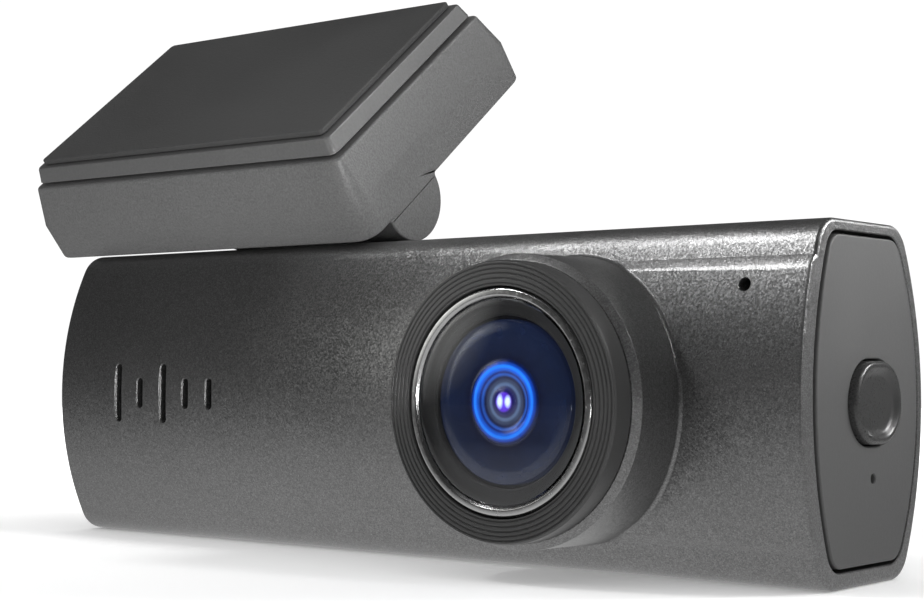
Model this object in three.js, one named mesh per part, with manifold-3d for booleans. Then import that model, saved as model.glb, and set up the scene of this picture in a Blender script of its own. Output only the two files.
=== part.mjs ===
// Dash camera with a tilting windscreen bracket.
// Millimetres, +Z up. The body lies along X and rests on the flat strip under it (Z = 0).
// The lens looks toward -Y. The origin is on the underside, below the middle of the body.

import * as THREE from 'three';
import { mergeVertices } from 'three/addons/utils/BufferGeometryUtils.js';
import Module from 'manifold-3d';

const wasm = await Module();
wasm.setup();

// ---------------------------------------------------------------- driving dimensions
const BODY_LENGTH = 108.4;
const BODY_HEIGHT = 36;
const BODY_REAR = 13;
const FRONT_AT_LEFT = 13;
const FRONT_AT_RIGHT = 12.2;
const FLAT_HALF = 6;
const CORNER_RADIUS = 3.7;
const WALL = 1.8;

const PAD_FACE = 13.05;
const PAD_BOTTOM = 3.7;
const PAD_TOP = 32.3;
const PAD_BEVEL = 0.9;

const LENS_X = 25.9;
const LENS_Z = 18;
const HOOD_RADIUS = 14.9;
const HOOD_BASE_RADIUS = 15;
const HOOD_SHOULDER = -19.5;
const HOOD_FRONT = -20.2;
const BEZEL_FRONT = -22.96;
const GLASS_RADIUS = 10.3;
const RIM_RADIUS = 11.4;
const BEZEL_RADIUS = 14.1;

const COVER_LENGTH = 72;
const COVER_WIDTH = 6.8;
const COVER_Y = -1;

const BUTTON_Y = 1.3;
const BUTTON_Z = 18;
const BUTTON_HALF_WIDTH = 5.03;
const BUTTON_RADIUS = 4.15;
const BUTTON_PROUD = 0.95;

const BOARD_Y = 2.4;
const BOARD_THICK = 1.2;

const HINGE_Y = -1;
const HINGE_Z = 41.44;
const KNUCKLE_RADIUS = 5.1;
const TILT = THREE.MathUtils.degToRad(38.95);
const BRACKET_LEFT = -60.28;
const BRACKET_RIGHT = -3.69;
const BRACKET_FRONT = -9.11;
const BRACKET_BACK = 27.07;
const BRACKET_UNDER = 0.21;
const BRACKET_WAIST = 5.4;
const BRACKET_TOP = 10.45;
const BRACKET_SPREAD = 0.7;

const KNUCKLE_R_IN = -9.7;
const KNUCKLE_L_OUT = -33.3;
const KNUCKLE_L_IN = -27.3;
const FOOT_RIGHT = -10.6;
const FOOT_LEFT = -26.4;
const SHAFT_HOLE = 2.1;

const LEFT_END = -BODY_LENGTH / 2;
const RIGHT_END = BODY_LENGTH / 2;
const MID_Z = BODY_HEIGHT / 2;

// ---------------------------------------------------------------- materials
const paint = (color, roughness, metalness) => {
  return new THREE.MeshStandardMaterial({ color, roughness, metalness });
};
const GRAPHITE = paint(0x4d4d4e, 0.5, 0.35);
const DARK_PLASTIC = paint(0x3c3c3d, 0.55, 0.1);
const PANEL_PLASTIC = paint(0x5b5b5c, 0.6, 0.1);
const BEZEL_BLACK = paint(0x2d2d2e, 0.55, 0.15);
const CHROME = paint(0xb9babc, 0.15, 1);
const GLASS = paint(0x15161c, 0.05, 0);
const MATTE_BLACK = paint(0x141416, 0.8, 0);
const COATED_GLASS = paint(0x1b2a86, 0.08, 0);
const ANODISED = paint(0x24262b, 0.4, 0.8);
const BOARD_GREEN = paint(0x1c4a33, 0.55, 0.05);
const CHIP_BLACK = paint(0x18181a, 0.5, 0);
const SHIELD_STEEL = paint(0x9a9c9e, 0.35, 0.9);
const ALUMINIUM = paint(0xa4a6a8, 0.45, 0.9);
const SCREW_STEEL = paint(0x77797c, 0.35, 0.95);
const RUBBER = paint(0x202022, 0.85, 0);
const PAPER_CONE = paint(0x2b2a2a, 0.9, 0);
const AMBER_FILM = paint(0x9a5a1c, 0.5, 0.1);
const GREY_PAD = paint(0x8f9298, 0.9, 0);
const SLEEVE_BLUE = paint(0x22324f, 0.45, 0.05);
const FOAM_TAPE = paint(0x414141, 0.85, 0);
const GOLD = paint(0xb08d3e, 0.35, 0.95);

// ---------------------------------------------------------------- solid modelling
function toSolid(geometry) {
  const bare = geometry.index ? geometry.toNonIndexed() : geometry.clone();
  bare.deleteAttribute('normal');
  bare.deleteAttribute('uv');
  const merged = mergeVertices(bare, 1e-5);
  const vertProperties = new Float32Array(merged.attributes.position.array);
  const triVerts = new Uint32Array(merged.index.array);
  return new wasm.Manifold(new wasm.Mesh({ numProp: 3, vertProperties, triVerts }));
}

function toGeometry(solid) {
  const mesh = solid.getMesh();
  const geometry = new THREE.BufferGeometry();
  geometry.setAttribute('position', new THREE.BufferAttribute(new Float32Array(mesh.vertProperties), 3));
  geometry.setIndex(new THREE.BufferAttribute(new Uint32Array(mesh.triVerts), 1));
  geometry.computeVertexNormals();
  return geometry;
}

function join(first, ...others) {
  return others.reduce((solid, geometry) => solid.add(toSolid(geometry)), toSolid(first));
}

function cut(solid, ...tools) {
  return tools.reduce((left, geometry) => left.subtract(toSolid(geometry)), solid);
}

// ---------------------------------------------------------------- placing geometry
const AXIS_X = new THREE.Vector3(1, 0, 0);
const AXIS_Y = new THREE.Vector3(0, 1, 0);
const AXIS_Z = new THREE.Vector3(0, 0, 1);

function turned(geometry, ax, ay, az) {
  return geometry.applyMatrix4(new THREE.Matrix4().makeBasis(ax, ay, az));
}

function shapeOf(points) {
  return new THREE.Shape(points.map(([a, b]) => new THREE.Vector2(a, b)));
}

function extrude(shape, depth, bevel = 0) {
  return new THREE.ExtrudeGeometry(shape, {
    depth: depth - 2 * bevel,
    curveSegments: 8,
    bevelEnabled: bevel > 0,
    bevelThickness: bevel,
    bevelSize: bevel,
    bevelOffset: -bevel,
    bevelSegments: 1,
  }).translate(0, 0, bevel);
}

// The outline is drawn in (y, z) and pulled along +X from x0 to x1.
function alongX(shape, x0, x1, bevel = 0) {
  return turned(extrude(shape, x1 - x0, bevel), AXIS_Y, AXIS_Z, AXIS_X).translate(x0, 0, 0);
}

// The outline is drawn in (x, z) and pulled from y1 toward -Y to y0.
function alongY(shape, y0, y1, bevel = 0) {
  const back = AXIS_Y.clone().negate();
  return turned(extrude(shape, y1 - y0, bevel), AXIS_X, AXIS_Z, back).translate(0, y1, 0);
}

// The outline is drawn in (x, y) and pulled along +Z from z0 to z1.
function alongZ(shape, z0, z1, bevel = 0) {
  return extrude(shape, z1 - z0, bevel).translate(0, 0, z0);
}

function block(x0, x1, y0, y1, z0, z1) {
  const geometry = new THREE.BoxGeometry(x1 - x0, y1 - y0, z1 - z0);
  return geometry.translate((x0 + x1) / 2, (y0 + y1) / 2, (z0 + z1) / 2);
}

function roundedRectangle(cx, cy, width, height, radius, steps = 3) {
  const dx = width / 2 - radius;
  const dy = height / 2 - radius;
  const points = [];
  for (const [sx, sy, start] of [[1, -1, -90], [1, 1, 0], [-1, 1, 90], [-1, -1, 180]]) {
    for (let i = 0; i <= steps; i += 1) {
      const a = THREE.MathUtils.degToRad(start + (i / steps) * 90);
      points.push([cx + sx * dx + radius * Math.cos(a), cy + sy * dy + radius * Math.sin(a)]);
    }
  }
  return shapeOf(points);
}

function stadium(cx, cy, halfWidth, radius) {
  const dx = halfWidth - radius;
  const points = [];
  for (let i = 0; i <= 8; i += 1) {
    const a = THREE.MathUtils.degToRad(-90 + i * 22.5);
    points.push([cx + dx + radius * Math.cos(a), cy + radius * Math.sin(a)]);
  }
  for (let i = 0; i <= 8; i += 1) {
    const a = THREE.MathUtils.degToRad(90 + i * 22.5);
    points.push([cx - dx + radius * Math.cos(a), cy + radius * Math.sin(a)]);
  }
  return shapeOf(points);
}

function disc(cx, cy, radius, segments = 12) {
  const points = [];
  for (let i = 0; i < segments; i += 1) {
    const a = (i / segments) * Math.PI * 2;
    points.push([cx + radius * Math.cos(a), cy + radius * Math.sin(a)]);
  }
  return shapeOf(points);
}

// A closed (radius, y) profile turned about the line through (x, z) parallel to Y.
function turnedAboutY(profile, x, z, segments = 36) {
  const points = profile.map(([r, y]) => new THREE.Vector2(r, y));
  points.push(points[0].clone());
  const area = THREE.ShapeUtils.area(points);
  if (area < 0) points.reverse();
  return new THREE.LatheGeometry(points, segments).translate(x, 0, z);
}

// A closed (radius, x) profile turned about the line through (y, z) parallel to X.
function turnedAboutX(profile, y, z, segments = 16) {
  const lathe = turnedAboutY(profile, 0, 0, segments);
  return turned(lathe, AXIS_Z, AXIS_X, AXIS_Y).translate(0, y, z);
}

// Two outlines with the same number of points, joined by a ruled wall and closed at both ends.
function loft(rings) {
  const count = rings[0].length;
  const positions = rings.flat().flatMap((p) => [p[0], p[1], p[2]]);
  const faces = [];
  for (let k = 0; k + 1 < rings.length; k += 1) {
    for (let i = 0; i < count; i += 1) {
      const j = (i + 1) % count;
      const a = k * count + i;
      const b = k * count + j;
      const c = (k + 1) * count + j;
      const d = (k + 1) * count + i;
      faces.push(a, b, c, a, c, d);
    }
  }
  const last = (rings.length - 1) * count;
  for (let i = 1; i + 1 < count; i += 1) {
    faces.push(0, i + 1, i);
    faces.push(last, last + i, last + i + 1);
  }
  const geometry = new THREE.BufferGeometry();
  geometry.setAttribute('position', new THREE.Float32BufferAttribute(positions, 3));
  geometry.setIndex(faces);
  return geometry;
}

// ---------------------------------------------------------------- the barrel-shaped section
// Flat top and bottom, round corners and a long bulging arc at the front and at the back.
function bulge(depth, flat, corner, zLow, zHigh, side) {
  const middle = (zLow + zHigh) / 2;
  const rise = zHigh - corner - middle;
  const gap = flat - depth;
  const big = (corner ** 2 - gap ** 2 - rise ** 2) / (2 * (gap + corner));
  const meet = Math.atan2(rise, flat - (depth - big));
  const points = [];
  const steps = 4;
  for (let i = 0; i <= steps; i += 1) {
    const a = -Math.PI / 2 + (i / steps) * (Math.PI / 2 - meet);
    points.push([flat + corner * Math.cos(a), zLow + corner + corner * Math.sin(a)]);
  }
  for (let i = 1; i < 10; i += 1) {
    const a = -meet + (i / 10) * 2 * meet;
    points.push([depth - big + big * Math.cos(a), middle + big * Math.sin(a)]);
  }
  for (let i = 0; i <= steps; i += 1) {
    const a = meet + (i / steps) * (Math.PI / 2 - meet);
    points.push([flat + corner * Math.cos(a), zHigh - corner + corner * Math.sin(a)]);
  }
  return points.map(([y, z]) => [side * y, z]);
}

function section(front, rear, flat, corner, zLow, zHigh) {
  const back = bulge(rear, flat, corner, zLow, zHigh, 1);
  const face = bulge(front, flat, corner, zLow, zHigh, -1).reverse();
  return back.concat(face);
}

function bodyLoft(grow, x0, x1) {
  const ring = (x) => {
    const t = (x - LEFT_END) / BODY_LENGTH;
    const front = FRONT_AT_LEFT + (FRONT_AT_RIGHT - FRONT_AT_LEFT) * t;
    const corner = CORNER_RADIUS + grow;
    const points = section(front + grow, BODY_REAR + grow, FLAT_HALF, corner, -grow, BODY_HEIGHT + grow);
    return points.map(([y, z]) => [x, y, z]);
  };
  return loft([ring(x0), ring(x1)]);
}

function bodySection(inset) {
  const corner = CORNER_RADIUS - inset;
  return section(FRONT_AT_RIGHT - inset, BODY_REAR - inset, FLAT_HALF, corner, inset, BODY_HEIGHT - inset);
}

function panelSection(grow) {
  return section(10.35 + grow, 11.3 + grow, 5.4, 2.4 + grow, 2.05 - grow, 34.45 + grow);
}

// The proud face to the right of the lens, with a bevel along its top and bottom edges.
function facePad(face, bevelDepth) {
  const low = PAD_BOTTOM + PAD_BEVEL;
  const high = PAD_TOP - PAD_BEVEL;
  const edge = face - 2.1;
  const half = (high - low) / 2;
  const radius = (half ** 2 + (face - edge) ** 2) / (2 * (face - edge));
  const points = [];
  for (let i = 0; i <= 12; i += 1) {
    const z = low + ((high - low) * i) / 12;
    const y = Math.sqrt(radius ** 2 - (z - MID_Z) ** 2) + face - radius;
    points.push([-y, z]);
  }
  points.push([-edge + bevelDepth, PAD_TOP]);
  points.push([-8, PAD_TOP]);
  points.push([-8, PAD_BOTTOM]);
  points.push([-edge + bevelDepth, PAD_BOTTOM]);
  return points;
}

const slotX = [-42.9, -38.85, -34.65, -30.6, -26.45];
const slotTall = [true, false, true, false, false];
function speakerSlots(y0, y1) {
  return slotX.map((x, i) => {
    return alongY(roundedRectangle(x, 18.1, 1, slotTall[i] ? 7.2 : 3.65, 0.45), y0, y1);
  });
}

// ---------------------------------------------------------------- collecting the pieces
const dashCamera = new THREE.Group();
const bracketGroup = new THREE.Group();
bracketGroup.position.set(0, HINGE_Y, HINGE_Z);
bracketGroup.rotation.set(TILT, 0, 0);
dashCamera.add(bracketGroup);

function piece(name, shape, material, parent = dashCamera) {
  const geometry = shape instanceof THREE.BufferGeometry ? shape : toGeometry(shape);
  const mesh = new THREE.Mesh(geometry, material);
  mesh.name = name;
  parent.add(mesh);
  return mesh;
}

// ---------------------------------------------------------------- housing
const cavityStart = LEFT_END + 2.4;
const cavityEnd = RIGHT_END - 2.4;
let housing = join(
  bodyLoft(0, LEFT_END, RIGHT_END),
  alongX(shapeOf(facePad(PAD_FACE, 0.85)), LENS_X, RIGHT_END),
);
housing = cut(
  housing,
  alongX(shapeOf(bodySection(WALL)), cavityStart - 0.4, cavityEnd + 0.4),
  alongX(shapeOf(panelSection(0.4)), cavityEnd, RIGHT_END + 1),
  alongX(shapeOf(panelSection(0.4)), LEFT_END - 1, cavityStart),
  alongY(disc(LENS_X, LENS_Z, 13.6, 36), -16, -6),
  alongY(disc(47.25, 29.5, 0.65, 10), -16, -6),
  ...speakerSlots(-16, -6),
  block(FOOT_LEFT + 0.9, FOOT_RIGHT - 0.9, -4.2, 2.2, 33, 37),
);
housing = cut(housing, alongZ(roundedRectangle(0, COVER_Y, COVER_LENGTH + 0.4, COVER_WIDTH + 0.4, 1.2), -1, 4));
piece('housing', housing, GRAPHITE);

// The cover snaps in from inside, flush with the underside, and lets warm air out.
let undersideCover = join(
  alongZ(roundedRectangle(0, COVER_Y, COVER_LENGTH, COVER_WIDTH, 1), 0, 2.2),
  alongZ(roundedRectangle(0, COVER_Y, COVER_LENGTH + 1.6, COVER_WIDTH + 1.6, 1.8), WALL + 0.1, 2.4),
);
for (const x of [-32, -27, -22, -17, 17, 22, 27, 32]) {
  undersideCover = cut(undersideCover, alongZ(roundedRectangle(x, COVER_Y, 1.6, 4.6, 0.7, 2), -1, 4));
}
piece('underside_cover', undersideCover, PANEL_PLASTIC);

// ---------------------------------------------------------------- end panels
let rightPanel = join(
  alongX(shapeOf(panelSection(0)), RIGHT_END - 1.9, RIGHT_END + 0.15),
  block(RIGHT_END - 5.2, RIGHT_END - 1.8, -3.2, 3.2, 32.9, 34),
  block(RIGHT_END - 5.2, RIGHT_END - 1.8, -3.2, 3.2, 2.5, 3.4),
);
rightPanel = cut(
  rightPanel,
  alongX(stadium(BUTTON_Y, BUTTON_Z, BUTTON_HALF_WIDTH + 0.2, BUTTON_RADIUS + 0.2), 50, 56),
  alongX(disc(BUTTON_Y, 10.45, 0.55, 10), 50, 56),
);
piece('right_end_panel', rightPanel, PANEL_PLASTIC);

const USB_Z = 24.5;
const USB_Y = BOARD_Y - 1.75;
const CARD_Z = 11;
const CARD_Y = BOARD_Y - 0.95;
let leftPanel = join(
  alongX(shapeOf(panelSection(0)), LEFT_END - 0.15, LEFT_END + 1.9),
  block(LEFT_END + 1.8, LEFT_END + 4.8, -3.2, 3.2, 32.9, 34),
  block(LEFT_END + 1.8, LEFT_END + 4.8, -3.2, 3.2, 2.5, 3.4),
);
leftPanel = cut(
  leftPanel,
  alongX(roundedRectangle(USB_Y, USB_Z, 3.6, 9.4, 1.79), -56, -50),
  alongX(roundedRectangle(CARD_Y, CARD_Z, 1.9, 12.4, 0.6), -56, -50),
  alongX(disc(CARD_Y - 0.9, CARD_Z, 2.6, 24), -56, LEFT_END + 0.8),
);
piece('left_end_panel', leftPanel, PANEL_PLASTIC);

// ---------------------------------------------------------------- power button and switches
const CAP_FRONT = RIGHT_END + BUTTON_PROUD;
let powerButton = join(
  alongX(stadium(BUTTON_Y, BUTTON_Z, BUTTON_HALF_WIDTH, BUTTON_RADIUS), RIGHT_END - 2.6, CAP_FRONT, 0.2),
  alongX(stadium(BUTTON_Y, BUTTON_Z, BUTTON_HALF_WIDTH + 1, BUTTON_RADIUS + 1), RIGHT_END - 2.7, RIGHT_END - 2),
  alongX(disc(BUTTON_Y, BUTTON_Z, 1.2), RIGHT_END - 4.6, RIGHT_END - 2.6),
);
const dish = alongX(stadium(BUTTON_Y, BUTTON_Z, BUTTON_HALF_WIDTH - 0.9, BUTTON_RADIUS - 0.9), 0, 2, 0.45);
powerButton = cut(powerButton, dish.translate(CAP_FRONT - 0.5, 0, 0));
piece('power_button', powerButton, PANEL_PLASTIC);

const SWITCH_X = RIGHT_END - 5.6;
piece('power_switch_plunger', alongX(disc(BUTTON_Y, BUTTON_Z, 1), SWITCH_X - 1.4, RIGHT_END - 4.7, 0.15), RUBBER);
let powerSwitch = join(
  block(SWITCH_X - 3.6, SWITCH_X, -1.3, BOARD_Y - 0.05, BUTTON_Z - 3, BUTTON_Z + 3),
  block(SWITCH_X - 3.1, SWITCH_X - 2.5, BUTTON_Y - 1, BOARD_Y - 0.02, BUTTON_Z - 3.8, BUTTON_Z + 3.8),
);
powerSwitch = cut(powerSwitch, block(SWITCH_X - 2.2, SWITCH_X + 1, -0.1, BOARD_Y + 1, BUTTON_Z - 1.4, BUTTON_Z + 1.4));
piece('power_switch', powerSwitch, SHIELD_STEEL);

const resetSwitch = join(
  block(SWITCH_X - 3.2, SWITCH_X - 0.4, BUTTON_Y - 1.9, BOARD_Y - 0.05, 8.6, 12.3),
  alongX(disc(BUTTON_Y - 0.2, 10.45, 0.8, 12), SWITCH_X - 0.6, SWITCH_X + 0.2),
);
piece('reset_switch', resetSwitch, SHIELD_STEEL);

// ---------------------------------------------------------------- lens hood and its rings
const hoodSkirt = turnedAboutY([
  [12.2, -6],
  [HOOD_BASE_RADIUS, -6],
  [HOOD_BASE_RADIUS, -12.2],
  [HOOD_RADIUS, -16],
  [HOOD_RADIUS, HOOD_SHOULDER],
  [BEZEL_RADIUS + 0.1, HOOD_FRONT],
  [13.2, HOOD_FRONT],
  [13.2, -21.3],
  [12.2, -21.3],
], LENS_X, LENS_Z);
const hoodNeck = turnedAboutY([
  [10.9, -8.6],
  [13.3, -8.6],
  [13.3, -15],
  [12.4, -15],
  [12.4, -20.7],
  [10.9, -20.7],
], LENS_X, LENS_Z);
const hoodBlank = join(hoodSkirt).subtract(toSolid(bodyLoft(0.3, LEFT_END, RIGHT_END)));
const padClear = alongX(shapeOf(facePad(PAD_FACE + 0.3, 0.85)), LENS_X - 0.3, RIGHT_END);
const hood = cut(hoodBlank, padClear).add(toSolid(hoodNeck));
piece('lens_hood', hood, GRAPHITE);

const bezelProfile = [[11.55, -21.4], [11.55, -22.7], [11.75, BEZEL_FRONT]];
for (const r of [12.3, 12.8, 13.25]) {
  bezelProfile.push([r - 0.13, BEZEL_FRONT], [r, BEZEL_FRONT + 0.22], [r + 0.13, BEZEL_FRONT]);
}
bezelProfile.push([BEZEL_RADIUS - 0.25, BEZEL_FRONT], [BEZEL_RADIUS, BEZEL_FRONT + 0.25]);
bezelProfile.push([BEZEL_RADIUS, HOOD_FRONT - 0.1], [13.3, HOOD_FRONT - 0.1], [13.3, -21.4]);
piece('bezel_ring', turnedAboutY(bezelProfile, LENS_X, LENS_Z), BEZEL_BLACK);

piece('rim_ring', turnedAboutY([
  [GLASS_RADIUS + 0.1, -21.5],
  [GLASS_RADIUS + 0.1, -22.6],
  [GLASS_RADIUS + 0.45, -22.9],
  [RIM_RADIUS - 0.25, -22.9],
  [RIM_RADIUS, -22.65],
  [RIM_RADIUS, -21.5],
], LENS_X, LENS_Z), CHROME);

piece('cover_glass', turnedAboutY([
  [0, -21.6],
  [0, -22.75],
  [GLASS_RADIUS - 0.3, -22.75],
  [GLASS_RADIUS, -22.5],
  [GLASS_RADIUS, -21.6],
], LENS_X, LENS_Z), GLASS);

piece('mask_ring', turnedAboutY([
  [8.6, -21.2],
  [8.8, -21.4],
  [11.95, -21.4],
  [11.95, -20.8],
  [8.6, -20.8],
], LENS_X, LENS_Z), MATTE_BLACK);

// ---------------------------------------------------------------- lens
piece('front_lens', turnedAboutY([
  [0, -18.9],
  [0, -21.35],
  [2.8, -21.2],
  [5.4, -20.75],
  [7.4, -20.1],
  [8.2, -19.7],
  [8.2, -18.9],
], LENS_X, LENS_Z, 28), COATED_GLASS);

piece('lens_barrel', turnedAboutY([
  [3.2, -5.6],
  [6, -5.6],
  [6, -14.6],
  [9.2, -15.6],
  [9.2, -20.4],
  [8.35, -20.4],
  [8.35, -18.8],
  [4.2, -18.8],
  [4.2, -16.2],
  [3.2, -15.8],
], LENS_X, LENS_Z, 28), ANODISED);

piece('lens_spacer_ring', turnedAboutY([
  [2.7, -16.3],
  [2.7, -18.2],
  [3.4, -18.7],
  [4.05, -18.7],
  [4.05, -16.3],
], LENS_X, LENS_Z, 24), ANODISED);

piece('middle_lens', turnedAboutY([
  [0, -15.9],
  [0, -17.9],
  [1.2, -17.8],
  [2.1, -17.45],
  [2.6, -17],
  [2.6, -15.9],
], LENS_X, LENS_Z, 16), COATED_GLASS);

piece('rear_lens', turnedAboutY([
  [0, -6.2],
  [0, -8.6],
  [1.8, -8.4],
  [3.05, -7.8],
  [3.05, -6.6],
  [1.6, -6.3],
], LENS_X, LENS_Z, 16), COATED_GLASS);

// ---------------------------------------------------------------- sensor
const SENSOR_BOARD_FRONT = -3;
let lensHolder = join(
  alongY(roundedRectangle(LENS_X, LENS_Z, 18, 18, 1.5), -6.4, SENSOR_BOARD_FRONT - 0.05, 0.2),
  alongY(disc(LENS_X, LENS_Z, 8, 24), -14, -6.2),
);
lensHolder = cut(
  lensHolder,
  alongY(disc(LENS_X, LENS_Z, 6.2, 24), -15, -5.3),
  block(LENS_X - 5.6, LENS_X + 5.6, -5.4, -2, LENS_Z - 4.6, LENS_Z + 4.6),
);
piece('lens_holder', lensHolder, MATTE_BLACK);

piece('image_sensor', join(
  block(LENS_X - 5, LENS_X + 5, -3.7, SENSOR_BOARD_FRONT - 0.05, LENS_Z - 4, LENS_Z + 4),
  alongY(roundedRectangle(LENS_X, LENS_Z, 7, 5, 0.3), -4.1, -3.6),
), SHIELD_STEEL);

const sensorScrewSpots = [[LENS_X - 10.6, LENS_Z + 9.4], [LENS_X + 10.6, LENS_Z - 9.4]];
const sensorBoardShape = roundedRectangle(LENS_X, LENS_Z, 25, 23, 1.5);
for (const [x, z] of sensorScrewSpots) sensorBoardShape.holes.push(disc(x, z, 1.25, 8));
piece('sensor_board', alongY(sensorBoardShape, SENSOR_BOARD_FRONT, -2), BOARD_GREEN);

function boardScrew(x, z, headY, length) {
  const core = turnedAboutY([
    [0, headY],
    [0.7, headY],
    [0.7, headY - 0.55],
    [0, headY - 0.55],
  ], 0, 0, 6).translate(x, 0, z);
  const screw = turnedAboutY([
    [0, headY + length],
    [0.6, headY + length - 0.3],
    [0.95, headY + length - 0.8],
    [0.95, headY],
    [1.9, headY],
    [1.9, headY - 0.7],
    [1.4, headY - 1.1],
    [0, headY - 1.1],
  ], x, z, 10);
  return toSolid(screw).subtract(toSolid(core.translate(0, -0.6, 0)));
}

sensorScrewSpots.forEach(([x, z], i) => {
  piece(`sensor_screw_${i + 1}`, boardScrew(x, z, SENSOR_BOARD_FRONT - 0.1, 4.9), SCREW_STEEL);
});

piece('sensor_flex', alongX(shapeOf([
  [-1.9, 27.6],
  [-1.2, 27.6],
  [0, 28.6],
  [1.4, 28.9],
  [2.3, 28.5],
  [2.3, 28.2],
  [1.4, 28.6],
  [0.1, 28.3],
  [-1.1, 27.3],
  [-1.1, 23],
  [-1.9, 23],
]), LENS_X - 6, LENS_X + 6), AMBER_FILM);

// ---------------------------------------------------------------- main board and what it carries
const BOARD_BACK = BOARD_Y + BOARD_THICK;
const boardScrewSpots = [[-40.5, 30.6], [-31, 5.6], [43.5, 30.6], [43.5, 5.4]];
const boardShape = roundedRectangle(-0.5, MID_Z, 97, 28.5, 1.5);
for (const [x, z] of boardScrewSpots) boardShape.holes.push(disc(x, z, 1.25, 8));
for (const [x, z] of sensorScrewSpots) boardShape.holes.push(disc(x, z, 1.25, 8));
piece('main_board', alongY(boardShape, BOARD_Y, BOARD_BACK), BOARD_GREEN);

boardScrewSpots.forEach(([x, z], i) => {
  piece(`board_screw_${i + 1}`, boardScrew(x, z, BOARD_Y - 0.1, 4.6), SCREW_STEEL);
});

piece('processor', join(
  alongY(roundedRectangle(14, 17, 14, 14, 0.6), BOARD_BACK + 0.05, BOARD_BACK + 1.25, 0.15),
), CHIP_BLACK);
piece('thermal_pad', alongY(roundedRectangle(14, 17, 12.5, 12.5, 0.4), BOARD_BACK + 1.35, BOARD_BACK + 2.35), GREY_PAD);

let heatSpreader = join(
  alongY(roundedRectangle(14, MID_Z, 34, 25, 1.5), BOARD_BACK + 2.45, BOARD_BACK + 3.65),
);
for (let i = 0; i < 7; i += 1) {
  const x = 14 - 15 + i * 5;
  heatSpreader = heatSpreader.add(toSolid(block(x - 0.6, x + 0.6, BOARD_BACK + 3.5, BOARD_BACK + 5.5, 9, 27)));
}
piece('heat_spreader', heatSpreader, ALUMINIUM);

piece('memory_chip', alongY(roundedRectangle(35.5, 24, 11, 9, 0.4), BOARD_BACK + 0.05, BOARD_BACK + 1.05, 0.12), CHIP_BLACK);
piece('motion_sensor', alongY(roundedRectangle(36, 12, 4, 4, 0.2), BOARD_BACK + 0.05, BOARD_BACK + 0.95, 0.1), CHIP_BLACK);

let wifiModule = join(
  alongY(roundedRectangle(-4, 9.5, 13, 12, 0.4), BOARD_Y - 0.85, BOARD_Y - 0.05),
  alongY(roundedRectangle(-4, 10, 11.4, 9.4, 0.5), BOARD_Y - 2.3, BOARD_Y - 0.8, 0.15),
);
piece('wireless_module', wifiModule, SHIELD_STEEL);

const antenna = toSolid(block(-9, 9, -7.6, -7.3, 25.2, 29.4));
const antennaCut = cut(
  antenna,
  block(-7.5, 7.5, -8, -7, 26.1, 26.7),
  block(-9.5, 7.5, -8, -7, 27.9, 28.5),
);
piece('wireless_antenna', antennaCut, GOLD);

function supercapacitor(z) {
  return turnedAboutX([
    [0, -33],
    [3, -33],
    [3.3, -32.7],
    [3.3, -13.2],
    [3, -12.6],
    [2.3, -12.6],
    [2.1, -13],
    [0, -13],
  ], BOARD_BACK + 3.45, z, 16);
}
piece('supercapacitor_1', supercapacitor(12.4), SLEEVE_BLUE);
piece('supercapacitor_2', supercapacitor(19.9), SLEEVE_BLUE);

// ---------------------------------------------------------------- sockets and the memory card
const usbShell = alongX(roundedRectangle(USB_Y, USB_Z, 3.2, 8.9, 1.55), -53.6, -46.2);
const usbHole = alongX(roundedRectangle(USB_Y, USB_Z, 2.5, 8.2, 1.2), -54, -47.4);
const usbTongue = block(-52.6, -47, USB_Y - 0.33, USB_Y + 0.33, USB_Z - 3.3, USB_Z + 3.3);
const usbFeet = block(-51.5, -47, USB_Y + 1, BOARD_Y - 0.05, USB_Z - 4.9, USB_Z + 4.9);
let usbSocket = cut(join(usbShell, usbFeet), usbHole);
usbSocket = usbSocket.add(toSolid(usbTongue));
piece('usb_socket', usbSocket, SHIELD_STEEL);

let cardSocket = join(block(-50.6, -35.6, CARD_Y - 1, BOARD_Y - 0.05, CARD_Z - 7, CARD_Z + 7));
cardSocket = cut(
  cardSocket,
  block(-51, -37.8, CARD_Y - 0.6, CARD_Y + 0.6, CARD_Z - 5.75, CARD_Z + 5.75),
  block(-51, -46.5, CARD_Y - 2, CARD_Y, CARD_Z - 3, CARD_Z + 3),
);
piece('card_socket', cardSocket, SHIELD_STEEL);

const cardShape = shapeOf([
  [-53.2, CARD_Z - 5.5],
  [-38.4, CARD_Z - 5.5],
  [-38.4, CARD_Z + 4.2],
  [-39.6, CARD_Z + 5.5],
  [-44.2, CARD_Z + 5.5],
  [-44.7, CARD_Z + 5],
  [-46, CARD_Z + 5],
  [-46.5, CARD_Z + 5.5],
  [-53.2, CARD_Z + 5.5],
]);
piece('memory_card', alongY(cardShape, CARD_Y - 0.4, CARD_Y + 0.4, 0.08), CHIP_BLACK);

// ---------------------------------------------------------------- speaker and microphone
const SPEAKER_X = -34.65;
piece('speaker_gasket', turnedAboutY([
  [8, -8.8],
  [9.2, -8.8],
  [9.2, -9.3],
  [8, -9.3],
], SPEAKER_X, MID_Z, 24), RUBBER);
piece('speaker_frame', turnedAboutY([
  [5.2, -4.2],
  [9.2, -7],
  [9.2, -8.7],
  [8.3, -8.7],
  [8.3, -7.4],
  [5.2, -5.3],
], SPEAKER_X, MID_Z, 24), CHIP_BLACK);
piece('speaker_cone', turnedAboutY([
  [0, -6.2],
  [2.6, -5.8],
  [5, -6.3],
  [8, -8.4],
  [8, -8.65],
  [5, -6.7],
  [2.6, -6.4],
  [0, -7.2],
], SPEAKER_X, MID_Z, 24), PAPER_CONE);
piece('speaker_magnet', turnedAboutY([
  [0, -1.8],
  [5.6, -1.8],
  [6, -2.1],
  [6, -3.9],
  [4.9, -4.1],
  [4.9, -5],
  [0, -5],
], SPEAKER_X, MID_Z, 24), SHIELD_STEEL);

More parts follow.
